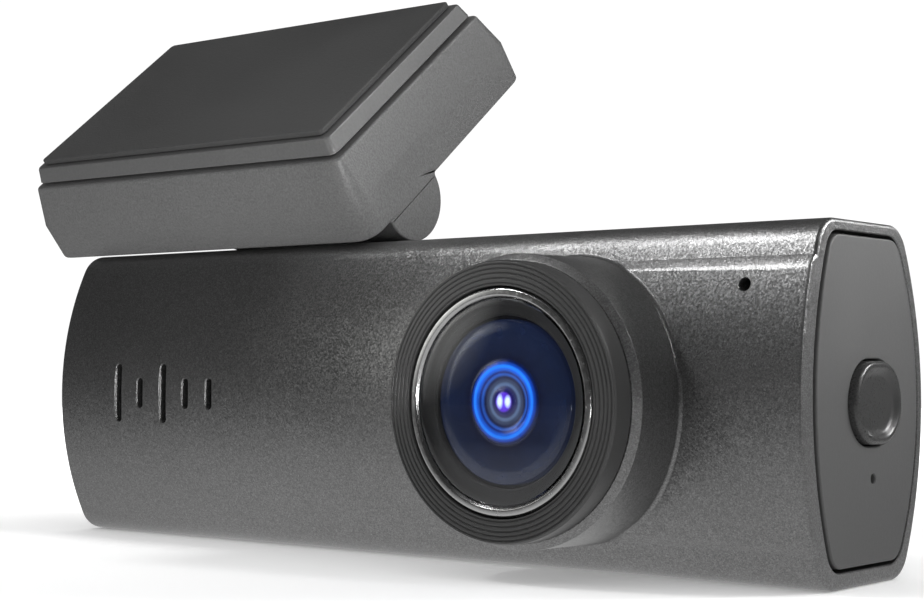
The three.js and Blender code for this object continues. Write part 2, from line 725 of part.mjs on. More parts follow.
const MIC_X = 47.25;
const MIC_Z = 29.5;
piece('microphone_boot', turnedAboutY([
  [0.7, -8.1],
  [2.1, -7.8],
  [2.7, -7.2],
  [2.7, -3.6],
  [2.15, -3.6],
  [2.15, -5.9],
  [0.7, -5.9],
], MIC_X, MIC_Z - 0.9, 16), RUBBER);
piece('microphone', turnedAboutY([
  [0, -3.1],
  [1.6, -3.1],
  [2, -3.4],
  [2, -5.6],
  [0, -5.6],
], MIC_X, MIC_Z - 0.9, 16), ANODISED);

// ---------------------------------------------------------------- chassis that carries the boards
let chassis = join(
  block(-46, 48.5, BOARD_BACK + 0.3, BOARD_BACK + 1.5, 1.95, 3.15),
  block(-46, 48.5, BOARD_BACK + 0.3, BOARD_BACK + 1.5, 32.85, 34.05),
  block(-43, -38, BOARD_BACK + 0.3, BOARD_BACK + 1.5, 3, 33),
  block(41.2, 46, BOARD_BACK + 0.3, BOARD_BACK + 1.5, 3, 33),
);
chassis = chassis.add(toSolid(block(-33, -29, BOARD_BACK + 0.3, BOARD_BACK + 1.5, 3, 5.6)));
for (const [x, z] of boardScrewSpots) {
  chassis = chassis.add(toSolid(alongY(disc(x, z, 2.2), BOARD_BACK + 0.3, BOARD_BACK + 3.4)));
}
for (const [x, z] of boardScrewSpots) {
  chassis = cut(chassis, alongY(disc(x, z, 1.25, 8), BOARD_BACK - 1, BOARD_BACK + 5));
}
piece('chassis', chassis, DARK_PLASTIC);

// ---------------------------------------------------------------- hinge
const footProfile = [];
for (let i = 0; i <= 16; i += 1) {
  const a = THREE.MathUtils.degToRad(-28 + (i / 16) * 236);
  footProfile.push([HINGE_Y + 4.7 * Math.cos(a), HINGE_Z + 4.7 * Math.sin(a)]);
}
footProfile.push([-5.4, 36.3]);
footProfile.push([-5.4, 36.05]);
footProfile.push([4.4, 36.05]);
footProfile.push([4.4, 36.3]);
const footScrewX = [FOOT_LEFT + 4.4, FOOT_RIGHT - 4.4];
let hingeFoot = join(
  alongX(shapeOf(footProfile), FOOT_LEFT, FOOT_RIGHT),
  block(FOOT_LEFT + 1.3, FOOT_RIGHT - 1.3, -3.8, 1.8, 34.3, 36.5),
);
hingeFoot = cut(
  hingeFoot,
  alongX(disc(HINGE_Y, HINGE_Z, SHAFT_HOLE, 20), -30, -5),
  ...footScrewX.map((x) => alongZ(disc(x, HINGE_Y, 1.25, 8), 34, 38.3)),
);
piece('hinge_foot', hingeFoot, DARK_PLASTIC);

const retainerShape = roundedRectangle((FOOT_LEFT + FOOT_RIGHT) / 2, HINGE_Y, 19, 9.4, 1);
for (const x of footScrewX) retainerShape.holes.push(disc(x, HINGE_Y, 1.25, 8));
piece('foot_retainer', alongZ(retainerShape, 33, 34.1), SHIELD_STEEL);

footScrewX.forEach((x, i) => {
  const screw = boardScrew(0, 0, 0, 5.2);
  const upright = turned(toGeometry(screw), AXIS_X, AXIS_Z, AXIS_Y.clone().negate());
  piece(`foot_screw_${i + 1}`, upright.translate(x, HINGE_Y, 32.9), SCREW_STEEL);
});

piece('hinge_shaft', turnedAboutX([
  [0, -5.4],
  [1.7, -5.4],
  [2, -5.8],
  [2, -33.5],
  [3.4, -33.5],
  [3.4, -34.3],
  [2.8, -34.9],
  [0, -34.9],
], HINGE_Y, HINGE_Z, 20), SCREW_STEEL);

function washer(x0, x1) {
  return turnedAboutX([
    [SHAFT_HOLE, x0],
    [4.6, x0],
    [4.6, x1],
    [SHAFT_HOLE, x1],
  ], HINGE_Y, HINGE_Z, 20);
}
piece('friction_washer_1', washer(-10.45, -9.85), SCREW_STEEL);
piece('friction_washer_2', washer(-27.15, -26.55), SCREW_STEEL);

// ---------------------------------------------------------------- bracket
// Inside the tilted group X stays along the body, Y runs up the bracket and Z is square to the pad.
// The spread widens the left and the upper side only.
function plateRing(insetX, insetY, radius, z, spread = 0) {
  const x0 = BRACKET_LEFT + insetX - spread;
  const x1 = BRACKET_RIGHT - insetX;
  const y0 = BRACKET_FRONT + insetY;
  const y1 = BRACKET_BACK - insetY + spread;
  const corners = [[x1, y0, -90], [x1, y1, 0], [x0, y1, 90], [x0, y0, 180]];
  const points = [];
  for (const [cx, cy, start] of corners) {
    const px = cx > x0 ? cx - radius : cx + radius;
    const py = cy > y0 ? cy - radius : cy + radius;
    for (let i = 0; i <= 4; i += 1) {
      const a = THREE.MathUtils.degToRad(start + (i / 4) * 90);
      points.push([px + radius * Math.cos(a), py + radius * Math.sin(a), z]);
    }
  }
  return points;
}

const bracketTaper = loft([
  plateRing(0.45, 0.45, 2.1, BRACKET_UNDER, BRACKET_SPREAD),
  plateRing(0, 0, 2.5, BRACKET_UNDER + 0.45, BRACKET_SPREAD),
  plateRing(0, 0, 2.5, BRACKET_WAIST, BRACKET_SPREAD),
  plateRing(0.89, 1.64, 0.9, BRACKET_TOP),
]);
const knuckle = (x0, x1) => alongX(disc(0, 0, KNUCKLE_RADIUS, 32), x0, x1);
let bracketBody = join(bracketTaper, knuckle(KNUCKLE_R_IN, BRACKET_RIGHT), knuckle(KNUCKLE_L_OUT, KNUCKLE_L_IN));
const screwSpots = [[-50, 9], [-14, 9]];
bracketBody = cut(
  bracketBody,
  alongX(disc(0, 0, 6, 32), KNUCKLE_L_IN, KNUCKLE_R_IN),
  block(KNUCKLE_L_IN - 9, KNUCKLE_L_OUT, -4.4, 4.4, -2, 4.2),
  alongX(disc(0, 0, SHAFT_HOLE, 20), KNUCKLE_L_OUT - 1, -5.1),
  alongZ(disc(screwSpots[0][0], screwSpots[0][1], 1.6, 10), 5.3, 12),
  alongZ(disc(screwSpots[1][0], screwSpots[1][1], 1.6, 10), 5.3, 12),
);
piece('bracket_body', bracketBody, DARK_PLASTIC, bracketGroup);

let mountingPlate = toSolid(loft([
  plateRing(1.45, 2.25, 0.9, BRACKET_TOP + 0.28),
  plateRing(2, 2.8, 0.7, 12.85),
]));
for (const [x, y] of screwSpots) {
  mountingPlate = cut(mountingPlate, alongZ(disc(x, y, 1.65, 10), 9, 14), alongZ(disc(x, y, 3, 16), 11.5, 14));
}
piece('mounting_plate', mountingPlate, DARK_PLASTIC, bracketGroup);

screwSpots.forEach(([x, y], i) => {
  const shank = turnedAboutY([
    [0, 6],
    [0.7, 6.2],
    [1.25, 6.9],
    [1.25, 11.75],
    [2.6, 11.75],
    [2.6, 12.5],
    [0, 12.5],
  ], 0, 0, 12);
  const upright = turned(shank, AXIS_X, AXIS_Z, AXIS_Y.clone().negate()).translate(x, y, 0);
  const slot = block(x - 2, x + 2, y - 0.3, y + 0.3, 12.1, 13);
  piece(`bracket_screw_${i + 1}`, toSolid(upright).subtract(toSolid(slot)), SCREW_STEEL, bracketGroup);
});

piece('adhesive_pad', loft([
  plateRing(2.95, 3.4, 0.6, 13.1),
  plateRing(2.95, 3.4, 0.6, 13.69),
]), FOAM_TAPE, bracketGroup);

export default dashCamera;
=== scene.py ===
"""Dash camera with a tilting windscreen bracket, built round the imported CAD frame.

Shapes are worked out in millimetres in the CAD frame and scaled to metres when a mesh is made.
"""

import math

import bmesh
import bpy
from mathutils import Matrix, Vector


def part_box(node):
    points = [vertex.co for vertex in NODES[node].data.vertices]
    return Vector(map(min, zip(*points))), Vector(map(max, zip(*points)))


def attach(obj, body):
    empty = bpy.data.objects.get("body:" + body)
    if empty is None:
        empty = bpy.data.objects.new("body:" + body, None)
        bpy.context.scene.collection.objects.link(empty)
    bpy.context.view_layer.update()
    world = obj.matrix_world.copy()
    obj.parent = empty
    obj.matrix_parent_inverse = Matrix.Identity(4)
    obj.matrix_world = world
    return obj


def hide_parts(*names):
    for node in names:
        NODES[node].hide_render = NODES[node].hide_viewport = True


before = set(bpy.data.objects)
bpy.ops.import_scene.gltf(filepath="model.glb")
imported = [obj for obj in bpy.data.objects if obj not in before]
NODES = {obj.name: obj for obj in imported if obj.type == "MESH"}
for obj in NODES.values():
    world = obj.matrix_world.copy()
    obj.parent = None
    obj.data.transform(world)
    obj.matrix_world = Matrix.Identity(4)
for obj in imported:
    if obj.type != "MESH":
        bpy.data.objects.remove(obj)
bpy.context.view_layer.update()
MM = 0.001


def corners(node):
    low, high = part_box(node)
    return low / MM, high / MM


# ------------------------------------------------------------ dimensions, in millimetres
HOUSING_LOW, HOUSING_HIGH = corners("housing")
LEFT_END, RIGHT_END = HOUSING_LOW.x, HOUSING_HIGH.x
BODY_LENGTH = RIGHT_END - LEFT_END
BODY_HEIGHT = HOUSING_HIGH.z
MID_Z = BODY_HEIGHT / 2
BODY_REAR = HOUSING_HIGH.y
FRONT_AT_LEFT = 13.0
FRONT_AT_RIGHT = 12.2
FLAT_HALF = 6.0
CORNER_RADIUS = 3.7
WALL = 1.8

PAD_FACE = 13.05
PAD_BOTTOM = 3.7
PAD_TOP = 32.3
PAD_BEVEL = 0.9
PAD_EDGE = PAD_FACE - 2.1

GLASS_LOW, GLASS_HIGH = corners("cover_glass")
LENS_X = (GLASS_LOW.x + GLASS_HIGH.x) / 2
LENS_Z = (GLASS_LOW.z + GLASS_HIGH.z) / 2
HOOD_FRONT = -20.2
BEZEL_FRONT = corners("bezel_ring")[0].y
HOOD_RADIUS = 14.9
HOOD_BASE_RADIUS = 15.0
HOOD_SHOULDER = -19.5
HOOD_BORE = 12.2
SEAT_RADIUS = 13.2
SEAT_FRONT = -21.3
BEZEL_RADIUS = 14.1

COVER_Y = -1.0
BUTTON_FACE = corners("power_button")[1].x
BUTTON_Y = 1.3
BUTTON_Z = 18.0
BUTTON_HALF_WIDTH = 5.03
BUTTON_RADIUS = 4.15
PINHOLE_Z = 10.45
PINHOLE_RADIUS = 0.5
USB_Z = 24.5
CARD_Z = 11.0
SPEAKER_SLOTS = ((-42.9, 7.2), (-38.85, 3.65), (-34.65, 7.2), (-30.6, 3.65), (-26.45, 3.65))
SLOT_Z = 18.1
MICROPHONE_X = 47.25
MICROPHONE_Z = 29.5
MICROPHONE_RADIUS = 0.65

HINGE_Y = -1.0
HINGE_Z = 41.44
KNUCKLE_RADIUS = 5.1
TILT = math.radians(38.95)
BRACKET_LEFT = -60.28
BRACKET_RIGHT = -3.69
BRACKET_FRONT = -9.11
BRACKET_BACK = 27.07
BRACKET_UNDER = 0.21
BRACKET_WAIST = 5.4
BRACKET_TOP = 10.45
BRACKET_SPREAD = 0.7
KNUCKLE_R_IN = -9.7
KNUCKLE_L_OUT = -33.3
KNUCKLE_L_IN = -27.3
FOOT_RIGHT = -10.6
FOOT_LEFT = -26.4


# ------------------------------------------------------------ outlines
def lerp(a, b, t):
    return a + (b - a) * t


def bulge(depth, flat, corner, low, high, side, steps, corner_steps):
    """One long arc between two corner arcs, from the bottom to the top, as (y, z)."""
    middle = (low + high) / 2
    rise = high - corner - middle
    gap = flat - depth
    big = (corner**2 - gap**2 - rise**2) / (2 * (gap + corner))
    meet = math.atan2(rise, flat - (depth - big))
    points = []
    for i in range(corner_steps + 1):
        a = -math.pi / 2 + i / corner_steps * (math.pi / 2 - meet)
        points.append((flat + corner * math.cos(a), low + corner + corner * math.sin(a)))
    for i in range(1, steps):
        a = -meet + i / steps * 2 * meet
        points.append((depth - big + big * math.cos(a), middle + big * math.sin(a)))
    for i in range(corner_steps + 1):
        a = meet + i / corner_steps * (math.pi / 2 - meet)
        points.append((flat + corner * math.cos(a), high - corner + corner * math.sin(a)))
    return [(side * y, z) for y, z in points]


def section(front, rear, flat, corner, low, high, steps=44, corner_steps=12):
    back = bulge(rear, flat, corner, low, high, 1, steps, corner_steps)
    face = bulge(front, flat, corner, low, high, -1, steps, corner_steps)
    return back + face[::-1]


def front_depth(x):
    return lerp(FRONT_AT_LEFT, FRONT_AT_RIGHT, (x - LEFT_END) / BODY_LENGTH)


def body_section(x, grow):
    return section(
        front_depth(x) + grow,
        BODY_REAR + grow,
        FLAT_HALF,
        CORNER_RADIUS + grow,
        -grow,
        BODY_HEIGHT + grow,
    )


def panel_section(grow):
    return section(10.35 + grow, 11.3 + grow, 5.4, 2.4 + grow, 2.05 - grow, 34.45 + grow, 32, 8)


def stadium(cy, cz, half_width, radius, steps=20):
    shift = half_width - radius
    points = []
    for side, start in ((1, -90), (-1, 90)):
        for i in range(steps + 1):
            a = math.radians(start + i * 180 / steps)
            points.append((cy + side * shift + radius * math.cos(a), cz + radius * math.sin(a)))
    return points


def rounded_box(cx, cy, width, height, radius, steps=6):
    radius = min(radius, width / 2 - 0.001, height / 2 - 0.001)
    dx, dy = width / 2 - radius, height / 2 - radius
    points = []
    for sx, sy, start in ((1, -1, -90), (1, 1, 0), (-1, 1, 90), (-1, -1, 180)):
        for i in range(steps + 1):
            a = math.radians(start + i * 90 / steps)
            points.append((cx + sx * dx + radius * math.cos(a), cy + sy * dy + radius * math.sin(a)))
    return points


def circle(cx, cy, radius, steps=32):
    turn = 2 * math.pi / steps
    return [(cx + radius * math.cos(i * turn), cy + radius * math.sin(i * turn)) for i in range(steps)]


def filleted(points, steps=5):
    """A closed outline whose corners (a, b, radius) are rounded off."""
    out = []
    count = len(points)
    for i, (a, b, radius) in enumerate(points):
        here = Vector((a, b))
        before = Vector(points[i - 1][:2]) - here
        after = Vector(points[(i + 1) % count][:2]) - here
        if radius <= 0:
            out.append((a, b))
            continue
        half = before.angle(after) / 2
        reach = min(radius / math.tan(half), before.length * 0.49, after.length * 0.49)
        radius = reach * math.tan(half)
        centre = here + (before.normalized() + after.normalized()).normalized() * (radius / math.sin(half))
        start = here + before.normalized() * reach - centre
        end = here + after.normalized() * reach - centre
        swing = start.angle_signed(end)
        for k in range(steps + 1):
            turn = Matrix.Rotation(-swing * k / steps, 2)
            p = centre + turn @ start
            out.append((p.x, p.y))
    return out


# ------------------------------------------------------------ solids
def mesh_object(name, verts, faces):
    mesh = bpy.data.meshes.new(name)
    mesh.from_pydata([tuple(c * MM for c in v) for v in verts], [], faces)
    bm = bmesh.new()
    bm.from_mesh(mesh)
    bmesh.ops.remove_doubles(bm, verts=bm.verts, dist=1e-7)
    bmesh.ops.recalc_face_normals(bm, faces=bm.faces)
    bm.to_mesh(mesh)
    bm.free()
    obj = bpy.data.objects.new(name, mesh)
    bpy.context.scene.collection.objects.link(obj)
    return obj


def loft(name, rings, closed=False):
    """Rings of equally many points joined by walls. An open loft gets a cap at both ends."""
    count = len(rings[0])
    verts = [p for ring in rings for p in ring]
    faces = []
    spans = len(rings) if closed else len(rings) - 1
    for k in range(spans):
        n = (k + 1) % len(rings)
        for i in range(count):
            j = (i + 1) % count
            faces.append((k * count + i, k * count + j, n * count + j, n * count + i))
    if not closed:
        faces.append(tuple(range(count))[::-1])
        faces.append(tuple(range((len(rings) - 1) * count, len(rings) * count)))
    return mesh_object(name, verts, faces)


def lathe(name, profile, x, z, segments=144):
    """A closed (radius, y) profile turned about the line through (x, z) parallel to Y."""
    rings = []
    for s in range(segments):
        a = 2 * math.pi * s / segments
        rings.append([(x + r * math.cos(a), y, z + r * math.sin(a)) for r, y in profile])
    return loft(name, rings, closed=True)


def rod(name, profile, y, z, segments=64):
    """A closed (radius, x) profile turned about the line through (y, z) parallel to X."""
    rings = []
    for s in range(segments):
        a = 2 * math.pi * s / segments
        rings.append([(x, y + r * math.cos(a), z + r * math.sin(a)) for r, x in profile])
    return loft(name, rings, closed=True)


def along_x(name, outline, levels):
    """outline(grow) gives (y, z) points; levels are (x, grow)."""
    return loft(name, [[(x, y, z) for y, z in outline(grow)] for x, grow in levels])


def apply_modifier(obj, kind, **settings):
    modifier = obj.modifiers.new(kind.title(), kind)
    for key, value in settings.items():
        setattr(modifier, key, value)
    graph = bpy.context.evaluated_depsgraph_get()
    mesh = bpy.data.meshes.new_from_object(obj.evaluated_get(graph))
    old = obj.data
    obj.modifiers.clear()
    obj.data = mesh
    bpy.data.meshes.remove(old)
    return obj


def combine(obj, *tools, operation="DIFFERENCE"):
    for tool in tools:
        apply_modifier(obj, "BOOLEAN", object=tool, operation=operation, solver="EXACT")
        bpy.data.objects.remove(tool)
    return obj


def soften(obj, width, segments=2, angle=35):
    """Small round edges wherever two faces meet at more than the angle."""
    return apply_modifier(
        obj,
        "BEVEL",
        width=width * MM,
        segments=segments,
        limit_method="ANGLE",
        angle_limit=math.radians(angle),
        use_clamp_overlap=False,
        miter_outer="MITER_ARC",
    )


def cleaned(obj):
    bm = bmesh.new()
    bm.from_mesh(obj.data)
    bmesh.ops.remove_doubles(bm, verts=bm.verts, dist=2e-7)
    bmesh.ops.dissolve_degenerate(bm, edges=bm.edges, dist=1e-7)
    bm.to_mesh(obj.data)
    bm.free()
    return obj


# ------------------------------------------------------------ materials
def rgb(value, tint=(1.0, 1.0, 1.0)):
    return (value * tint[0], value * tint[1], value * tint[2], 1.0)


class Shader:
    """A Principled material with its own small set of node helpers."""

    def __init__(self, name, **sockets):
        self.material = bpy.data.materials.new(name)
        self.material.use_nodes = True
        self.tree = self.material.node_tree
        self.shader = self.tree.nodes["Principled BSDF"]
        self.place = self.node("ShaderNodeTexCoord").outputs["Object"]
        for key, value in sockets.items():
            self.shader.inputs[key.replace("_", " ")].default_value = value

    def node(self, kind, inputs=None, **settings):
        node = self.tree.nodes.new(kind)
        for key, value in settings.items():
            setattr(node, key, value)
        for key, value in (inputs or {}).items():
            socket = node.inputs[key]
            if isinstance(value, bpy.types.NodeSocket):
                self.tree.links.new(value, socket)
            else:
                socket.default_value = value
        return node

    def noise(self, size_mm, detail=2.0, stretch=None):
        place = self.place
        if stretch:
            place = self.node("ShaderNodeMapping", {"Vector": place, "Scale": stretch}).outputs[0]
        inputs = {"Vector": place, "Scale": 1 / (size_mm * MM), "Detail": detail}
        return self.node("ShaderNodeTexNoise", inputs).outputs["Fac"]

    def spread(self, value, low, high, start=0.3, end=0.7):
        inputs = {"Value": value, "From Min": start, "From Max": end, "To Min": low, "To Max": high}
        return self.node("ShaderNodeMapRange", inputs).outputs[0]

    def vector(self, operation, a, b):
        return self.node("ShaderNodeVectorMath", {0: a, 1: b}, operation=operation).outputs[0]

    def length(self, value):
        return self.node("ShaderNodeVectorMath", {0: value}, operation="LENGTH").outputs["Value"]

    def times(self, a, b):
        return self.node("ShaderNodeMath", {0: a, 1: b}, operation="MULTIPLY").outputs[0]

    def plus(self, a, b):
        return self.node("ShaderNodeMath", {0: a, 1: b}, operation="ADD").outputs[0]

    def blend(self, share, a, b):
        node = self.node("ShaderNodeMix", data_type="RGBA")
        for index, value in ((0, share), (6, a), (7, b)):
            if isinstance(value, bpy.types.NodeSocket):
                self.tree.links.new(value, node.inputs[index])
            else:
                node.inputs[index].default_value = value
        return node.outputs[2]

    def edges(self, radius_mm, start=0.0, end=0.25):
        """1 on outer edges and 0 on open faces; materials paint these edges paler, as a painted edge
        highlight on the body paint and as worn edges with a painted highlight on the plastics.
        """
        soft = self.node("ShaderNodeBevel", {"Radius": radius_mm * MM}, samples=4).outputs[0]
        true = self.node("ShaderNodeNewGeometry").outputs["Normal"]
        dot = self.node("ShaderNodeVectorMath", {0: soft, 1: true}, operation="DOT_PRODUCT").outputs["Value"]
        return self.spread(dot, 1.0, 0.0, 1 - end, 1 - start)

    def bump(self, height, distance_mm, strength=1.0, normal=None):
        inputs = {"Height": height, "Distance": distance_mm * MM, "Strength": strength}
        if normal is not None:
            inputs["Normal"] = normal
        return self.node("ShaderNodeBump", inputs).outputs[0]

    def set(self, name, socket):
        self.tree.links.new(socket, self.shader.inputs[name])


def moulded(
    name, value, roughness, grain=0.22, depth=0.02, tint=(1, 1, 1), wear_and_edge_highlight=0.0, speckle=0.35, **sockets
):
    """Moulded or coated surface: fine grain, slow colour drift, uneven gloss, and pale edges that are partly
    worn and partly a painted edge highlight.
    """
    s = Shader(name, **sockets)
    fine = s.noise(grain, 3.0)
    slow = s.noise(14.0, 2.0)
    shade = s.blend(s.spread(slow, 0.0, 1.0), rgb(value * 0.93, tint), rgb(value * 1.06, tint))
    shade = s.blend(s.spread(fine, 0.0, speckle), shade, rgb(value * 1.6, tint))
    # Edges painted paler: partly worn plastic, partly a painted edge highlight.
    if wear_and_edge_highlight:
        shade = s.blend(s.times(s.edges(0.25), wear_and_edge_highlight), shade, rgb(min(1.0, value * 2.2 + 0.05), tint))
    s.set("Base Color", shade)
    gloss = s.spread(fine, roughness - 0.05, roughness + 0.06)
    s.set("Roughness", s.plus(gloss, s.spread(slow, -0.04, 0.04)))
    s.set("Normal", s.bump(fine, depth))
    return s.material


def flake_paint(name, value, roughness):
    """Metallic lacquer: each flake leans its own way, so it glitters inside a highlight."""
    s = Shader(name, Metallic=0.95, IOR=1.5)
    slow = s.noise(18.0, 2.0)
    cells = s.node("ShaderNodeTexVoronoi", {"Vector": s.place, "Scale": 1 / (0.15 * MM)})
    lean = s.vector("SUBTRACT", cells.outputs["Color"], (0.5, 0.5, 0.5))
    lean = s.node("ShaderNodeVectorMath", {0: lean, "Scale": 0.16}, operation="SCALE").outputs[0]
    base = s.node("ShaderNodeNewGeometry").outputs["Normal"]
    leaning = s.vector("ADD", base, lean)
    leaning = s.node("ShaderNodeVectorMath", {0: leaning}, operation="NORMALIZE")
    fine = s.noise(0.12, 2.0)
    s.set("Normal", s.bump(fine, 0.003, normal=leaning.outputs[0]))
    flake = s.node("ShaderNodeSeparateColor", {"Color": cells.outputs["Color"]}).outputs[0]
    shade = s.blend(s.spread(slow, 0.0, 1.0), rgb(value * 0.95), rgb(value * 1.05))
    shade = s.blend(s.spread(flake, 0.0, 0.6, 0.0, 1.0), shade, rgb(value * 2.0))
    shade = s.blend(s.spread(fine, 0.6, 0.0), shade, rgb(value * 0.4))
    # Edges painted paler: a painted edge highlight on the lacquer.
    shade = s.blend(s.times(s.edges(0.2), 0.18), shade, rgb(value * 2.2))
    s.set("Base Color", shade)
    gloss = s.spread(fine, roughness - 0.05, roughness + 0.06)
    s.set("Roughness", s.plus(gloss, s.spread(slow, -0.03, 0.03)))
    return s.material


def metal(name, value, roughness, tint=(1, 1, 1), scratch=(1, 1, 14), **sockets):
    """Plated or machined metal: fine drawn scratches and uneven gloss."""
    s = Shader(name, Metallic=1.0, **sockets)
    lines = s.noise(0.6, 3.0, stretch=scratch)
    slow = s.noise(5.0, 2.0)
    s.set("Base Color", s.blend(s.spread(slow, 0.0, 1.0), rgb(value * 0.92, tint), rgb(value * 1.05, tint)))
    s.set("Roughness", s.spread(lines, max(0.02, roughness - 0.05), roughness + 0.08))
    s.set("Normal", s.bump(lines, 0.004))
    return s.material


def ringed(name, stops, painted_glow, roughness=0.06, painted_glints=(), **sockets):
    """Coated optics: a colour for each distance in mm from the lens axis, given off as painted light at the
    strength given, with optional painted highlight spots.
    """
    s = Shader(name, **sockets)
    axis = (LENS_X * MM, 0.0, LENS_Z * MM)
    flat = s.vector("MULTIPLY", s.vector("SUBTRACT", s.place, axis), (1, 0, 1))
    far = s.length(flat)
    reach = stops[-1][0]
    ramp = s.node("ShaderNodeValToRGB", {"Fac": s.spread(far, 0.0, 1.0, 0.0, reach * MM)})
    ramp.color_ramp.interpolation = "EASE"
    elements = ramp.color_ramp.elements
    elements[0].position, elements[0].color = stops[0][0] / reach, (*stops[0][1], 1)
    elements[1].position, elements[1].color = 1.0, (*stops[-1][1], 1)
    for radius, colour in stops[1:-1]:
        elements.new(radius / reach).color = (*colour, 1)
    haze = s.noise(2.5, 2.0)
    shade = s.blend(s.spread(haze, 0.0, 0.25), ramp.outputs[0], (0.0, 0.0, 0.0, 1))
    # Each spot is a painted highlight: a small pale blue-white patch blended into the colour, which also
    # glows with it.
    for x, z, size in painted_glints:
        spot = s.vector("SUBTRACT", flat, (x * MM, 0, z * MM))
        near = s.length(s.vector("MULTIPLY", spot, (1.35, 0, 0.8)))
        shade = s.blend(s.spread(near, 1.0, 0.0, size * 0.35 * MM, size * MM), shade, (0.75, 0.9, 1.0, 1))
    s.set("Base Color", shade)
    s.set("Roughness", s.spread(haze, roughness - 0.02, roughness + 0.03))
    # The colour is also given off as emission: painted light, since no lens part is a lamp.
    s.set("Emission Color", shade)
    s.shader.inputs["Emission Strength"].default_value = painted_glow
    s.set("Normal", s.bump(haze, 0.0002))
    return s.material


BODY_PAINT = flake_paint("body_paint", 0.19, 0.40)
DARK_PLASTIC = moulded("dark_plastic", 0.075, 0.42, grain=0.3, depth=0.012, wear_and_edge_highlight=0.25, Metallic=0.25)
TEXTURED = moulded(
    "textured_plastic", 0.066, 0.44, grain=0.24, depth=0.05, wear_and_edge_highlight=0.2, speckle=1.0, Metallic=0.1
)
PANEL_PLASTIC = moulded("panel_plastic", 0.050, 0.52, grain=0.35, depth=0.008, wear_and_edge_highlight=0.3)
KEY_PLASTIC = moulded("key_plastic", 0.05, 0.3, grain=0.2, depth=0.004, wear_and_edge_highlight=0.45, Metallic=0.5)
BEZEL_BLACK = moulded("bezel_black", 0.027, 0.38, grain=0.3, depth=0.004, wear_and_edge_highlight=0.1)
FOAM = moulded("foam_tape", 0.029, 0.8, grain=0.35, depth=0.03)
MATTE = moulded("matte_black", 0.012, 0.75, grain=0.2, depth=0.01, tint=(1.0, 0.95, 0.88))
ANODISED = moulded("anodised_black", 0.02, 0.35, grain=0.15, depth=0.006, tint=(0.85, 0.9, 1.1), Metallic=0.6)
CHIP = moulded("chip_black", 0.02, 0.5, grain=0.12, depth=0.008, wear_and_edge_highlight=0.2)
RUBBER = moulded("black_rubber", 0.018, 0.8, grain=0.25, depth=0.02)
PAPER = moulded("paper_cone", 0.03, 0.9, grain=0.2, depth=0.05, tint=(1.05, 1, 0.92))
BOARD = moulded("circuit_board", 0.08, 0.45, grain=0.5, depth=0.01, tint=(0.3, 1.0, 0.55))
AMBER = moulded("amber_film", 0.3, 0.4, grain=0.6, depth=0.008, tint=(1.0, 0.45, 0.1))
GREY_PAD = moulded("thermal_pad", 0.28, 0.85, grain=0.25, depth=0.02, tint=(0.95, 0.98, 1.05))
SLEEVE = moulded("capacitor_sleeve", 0.06, 0.35, grain=0.8, depth=0.006, tint=(0.35, 0.6, 1.3))
CHROME = metal("bright_rim", 0.42, 0.2, scratch=(1, 20, 1))
SHIELD = metal("shield_steel", 0.5, 0.32)
ALUMINIUM = metal("aluminium", 0.6, 0.42)
SCREW = metal("screw_steel", 0.35, 0.3)
GOLD = metal("antenna_brass", 0.7, 0.3, tint=(1.0, 0.72, 0.3))


def clear_glass(name, tint, roughness, ior):
    s = Shader(name, Transmission_Weight=1.0, IOR=ior)
    s.shader.inputs["Base Color"].default_value = (*tint, 1)
    smear = s.noise(6.0, 3.0)
    s.set("Roughness", s.spread(smear, roughness, roughness + 0.02))
    return s.material


COVER_GLASS = clear_glass("cover_glass", (0.90, 0.92, 0.96), 0.0, 1.5)
NAVY = (0.005, 0.009, 0.028)
BLACK_BLUE = (0.002, 0.003, 0.010)
# The number after each list of colours is the strength of painted light given off, standing in for light the
# lens reflects.
BARREL_INK = ringed("lens_barrel_ink", ((3.9, BLACK_BLUE), (8.4, (0.004, 0.004, 0.006))), 0.2)
# The front coating's bright rings and purple centre are painted reflections of the lens, its two small white
# spots are painted highlights, and it all gives off painted light at 0.8.
FRONT_COAT_AND_PAINTED_LIGHT = ringed(
    "front_coating_and_painted_glints",
    (
        (0.0, (0.16, 0.07, 0.95)), (0.85, (0.10, 0.03, 0.62)), (1.1, (0.012, 0.01, 0.10)),
        (1.45, (0.03, 0.035, 0.10)), (1.75, (0.10, 0.15, 0.26)), (2.1, (0.045, 0.06, 0.11)),
        (2.45, (0.010, 0.014, 0.05)), (2.75, (0.02, 0.09, 0.42)), (2.95, (0.008, 0.02, 0.16)),
        (3.25, (0.01, 0.10, 0.60)), (3.55, (0.02, 0.24, 1.0)), (3.85, (0.005, 0.05, 0.40)),
        (4.1, (0.002, 0.008, 0.06)), (4.4, (0.004, 0.006, 0.02)), (5.2, NAVY),
        (7.4, (0.006, 0.011, 0.032)), (8.2, NAVY),
    ),
    0.8,
    painted_glints=((-0.42, 0.05, 0.66), (0.55, 0.05, 0.58)),
)
RING_BLUE = ringed("ring_coating", ((2.6, BLACK_BLUE), (4.1, (0.0, 0.02, 0.12))), 0.2, Metallic=0.5)
HEART_BLUE = ringed("heart_coating", ((0.0, (0.10, 0.05, 0.85)), (2.7, BLACK_BLUE)), 0.2)
COATED = ringed("coated_lens", ((0.0, (0.02, 0.03, 0.25)), (3.1, (0.01, 0.05, 0.3))), 0.0)


# ------------------------------------------------------------ finishing a piece
def finish_piece(obj, body, slot, material, *nodes, angle=28, weighted=True):
    mesh = obj.data
    mesh.shade_smooth()
    mesh.set_sharp_from_angle(angle=math.radians(angle))
    mesh.materials.clear()
    mesh.materials.append(material)
    if weighted:
        modifier = obj.modifiers.new("Face weights", "WEIGHTED_NORMAL")
        modifier.keep_sharp = True
    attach(obj, body)
    if nodes:
        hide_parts(*nodes)
    return obj


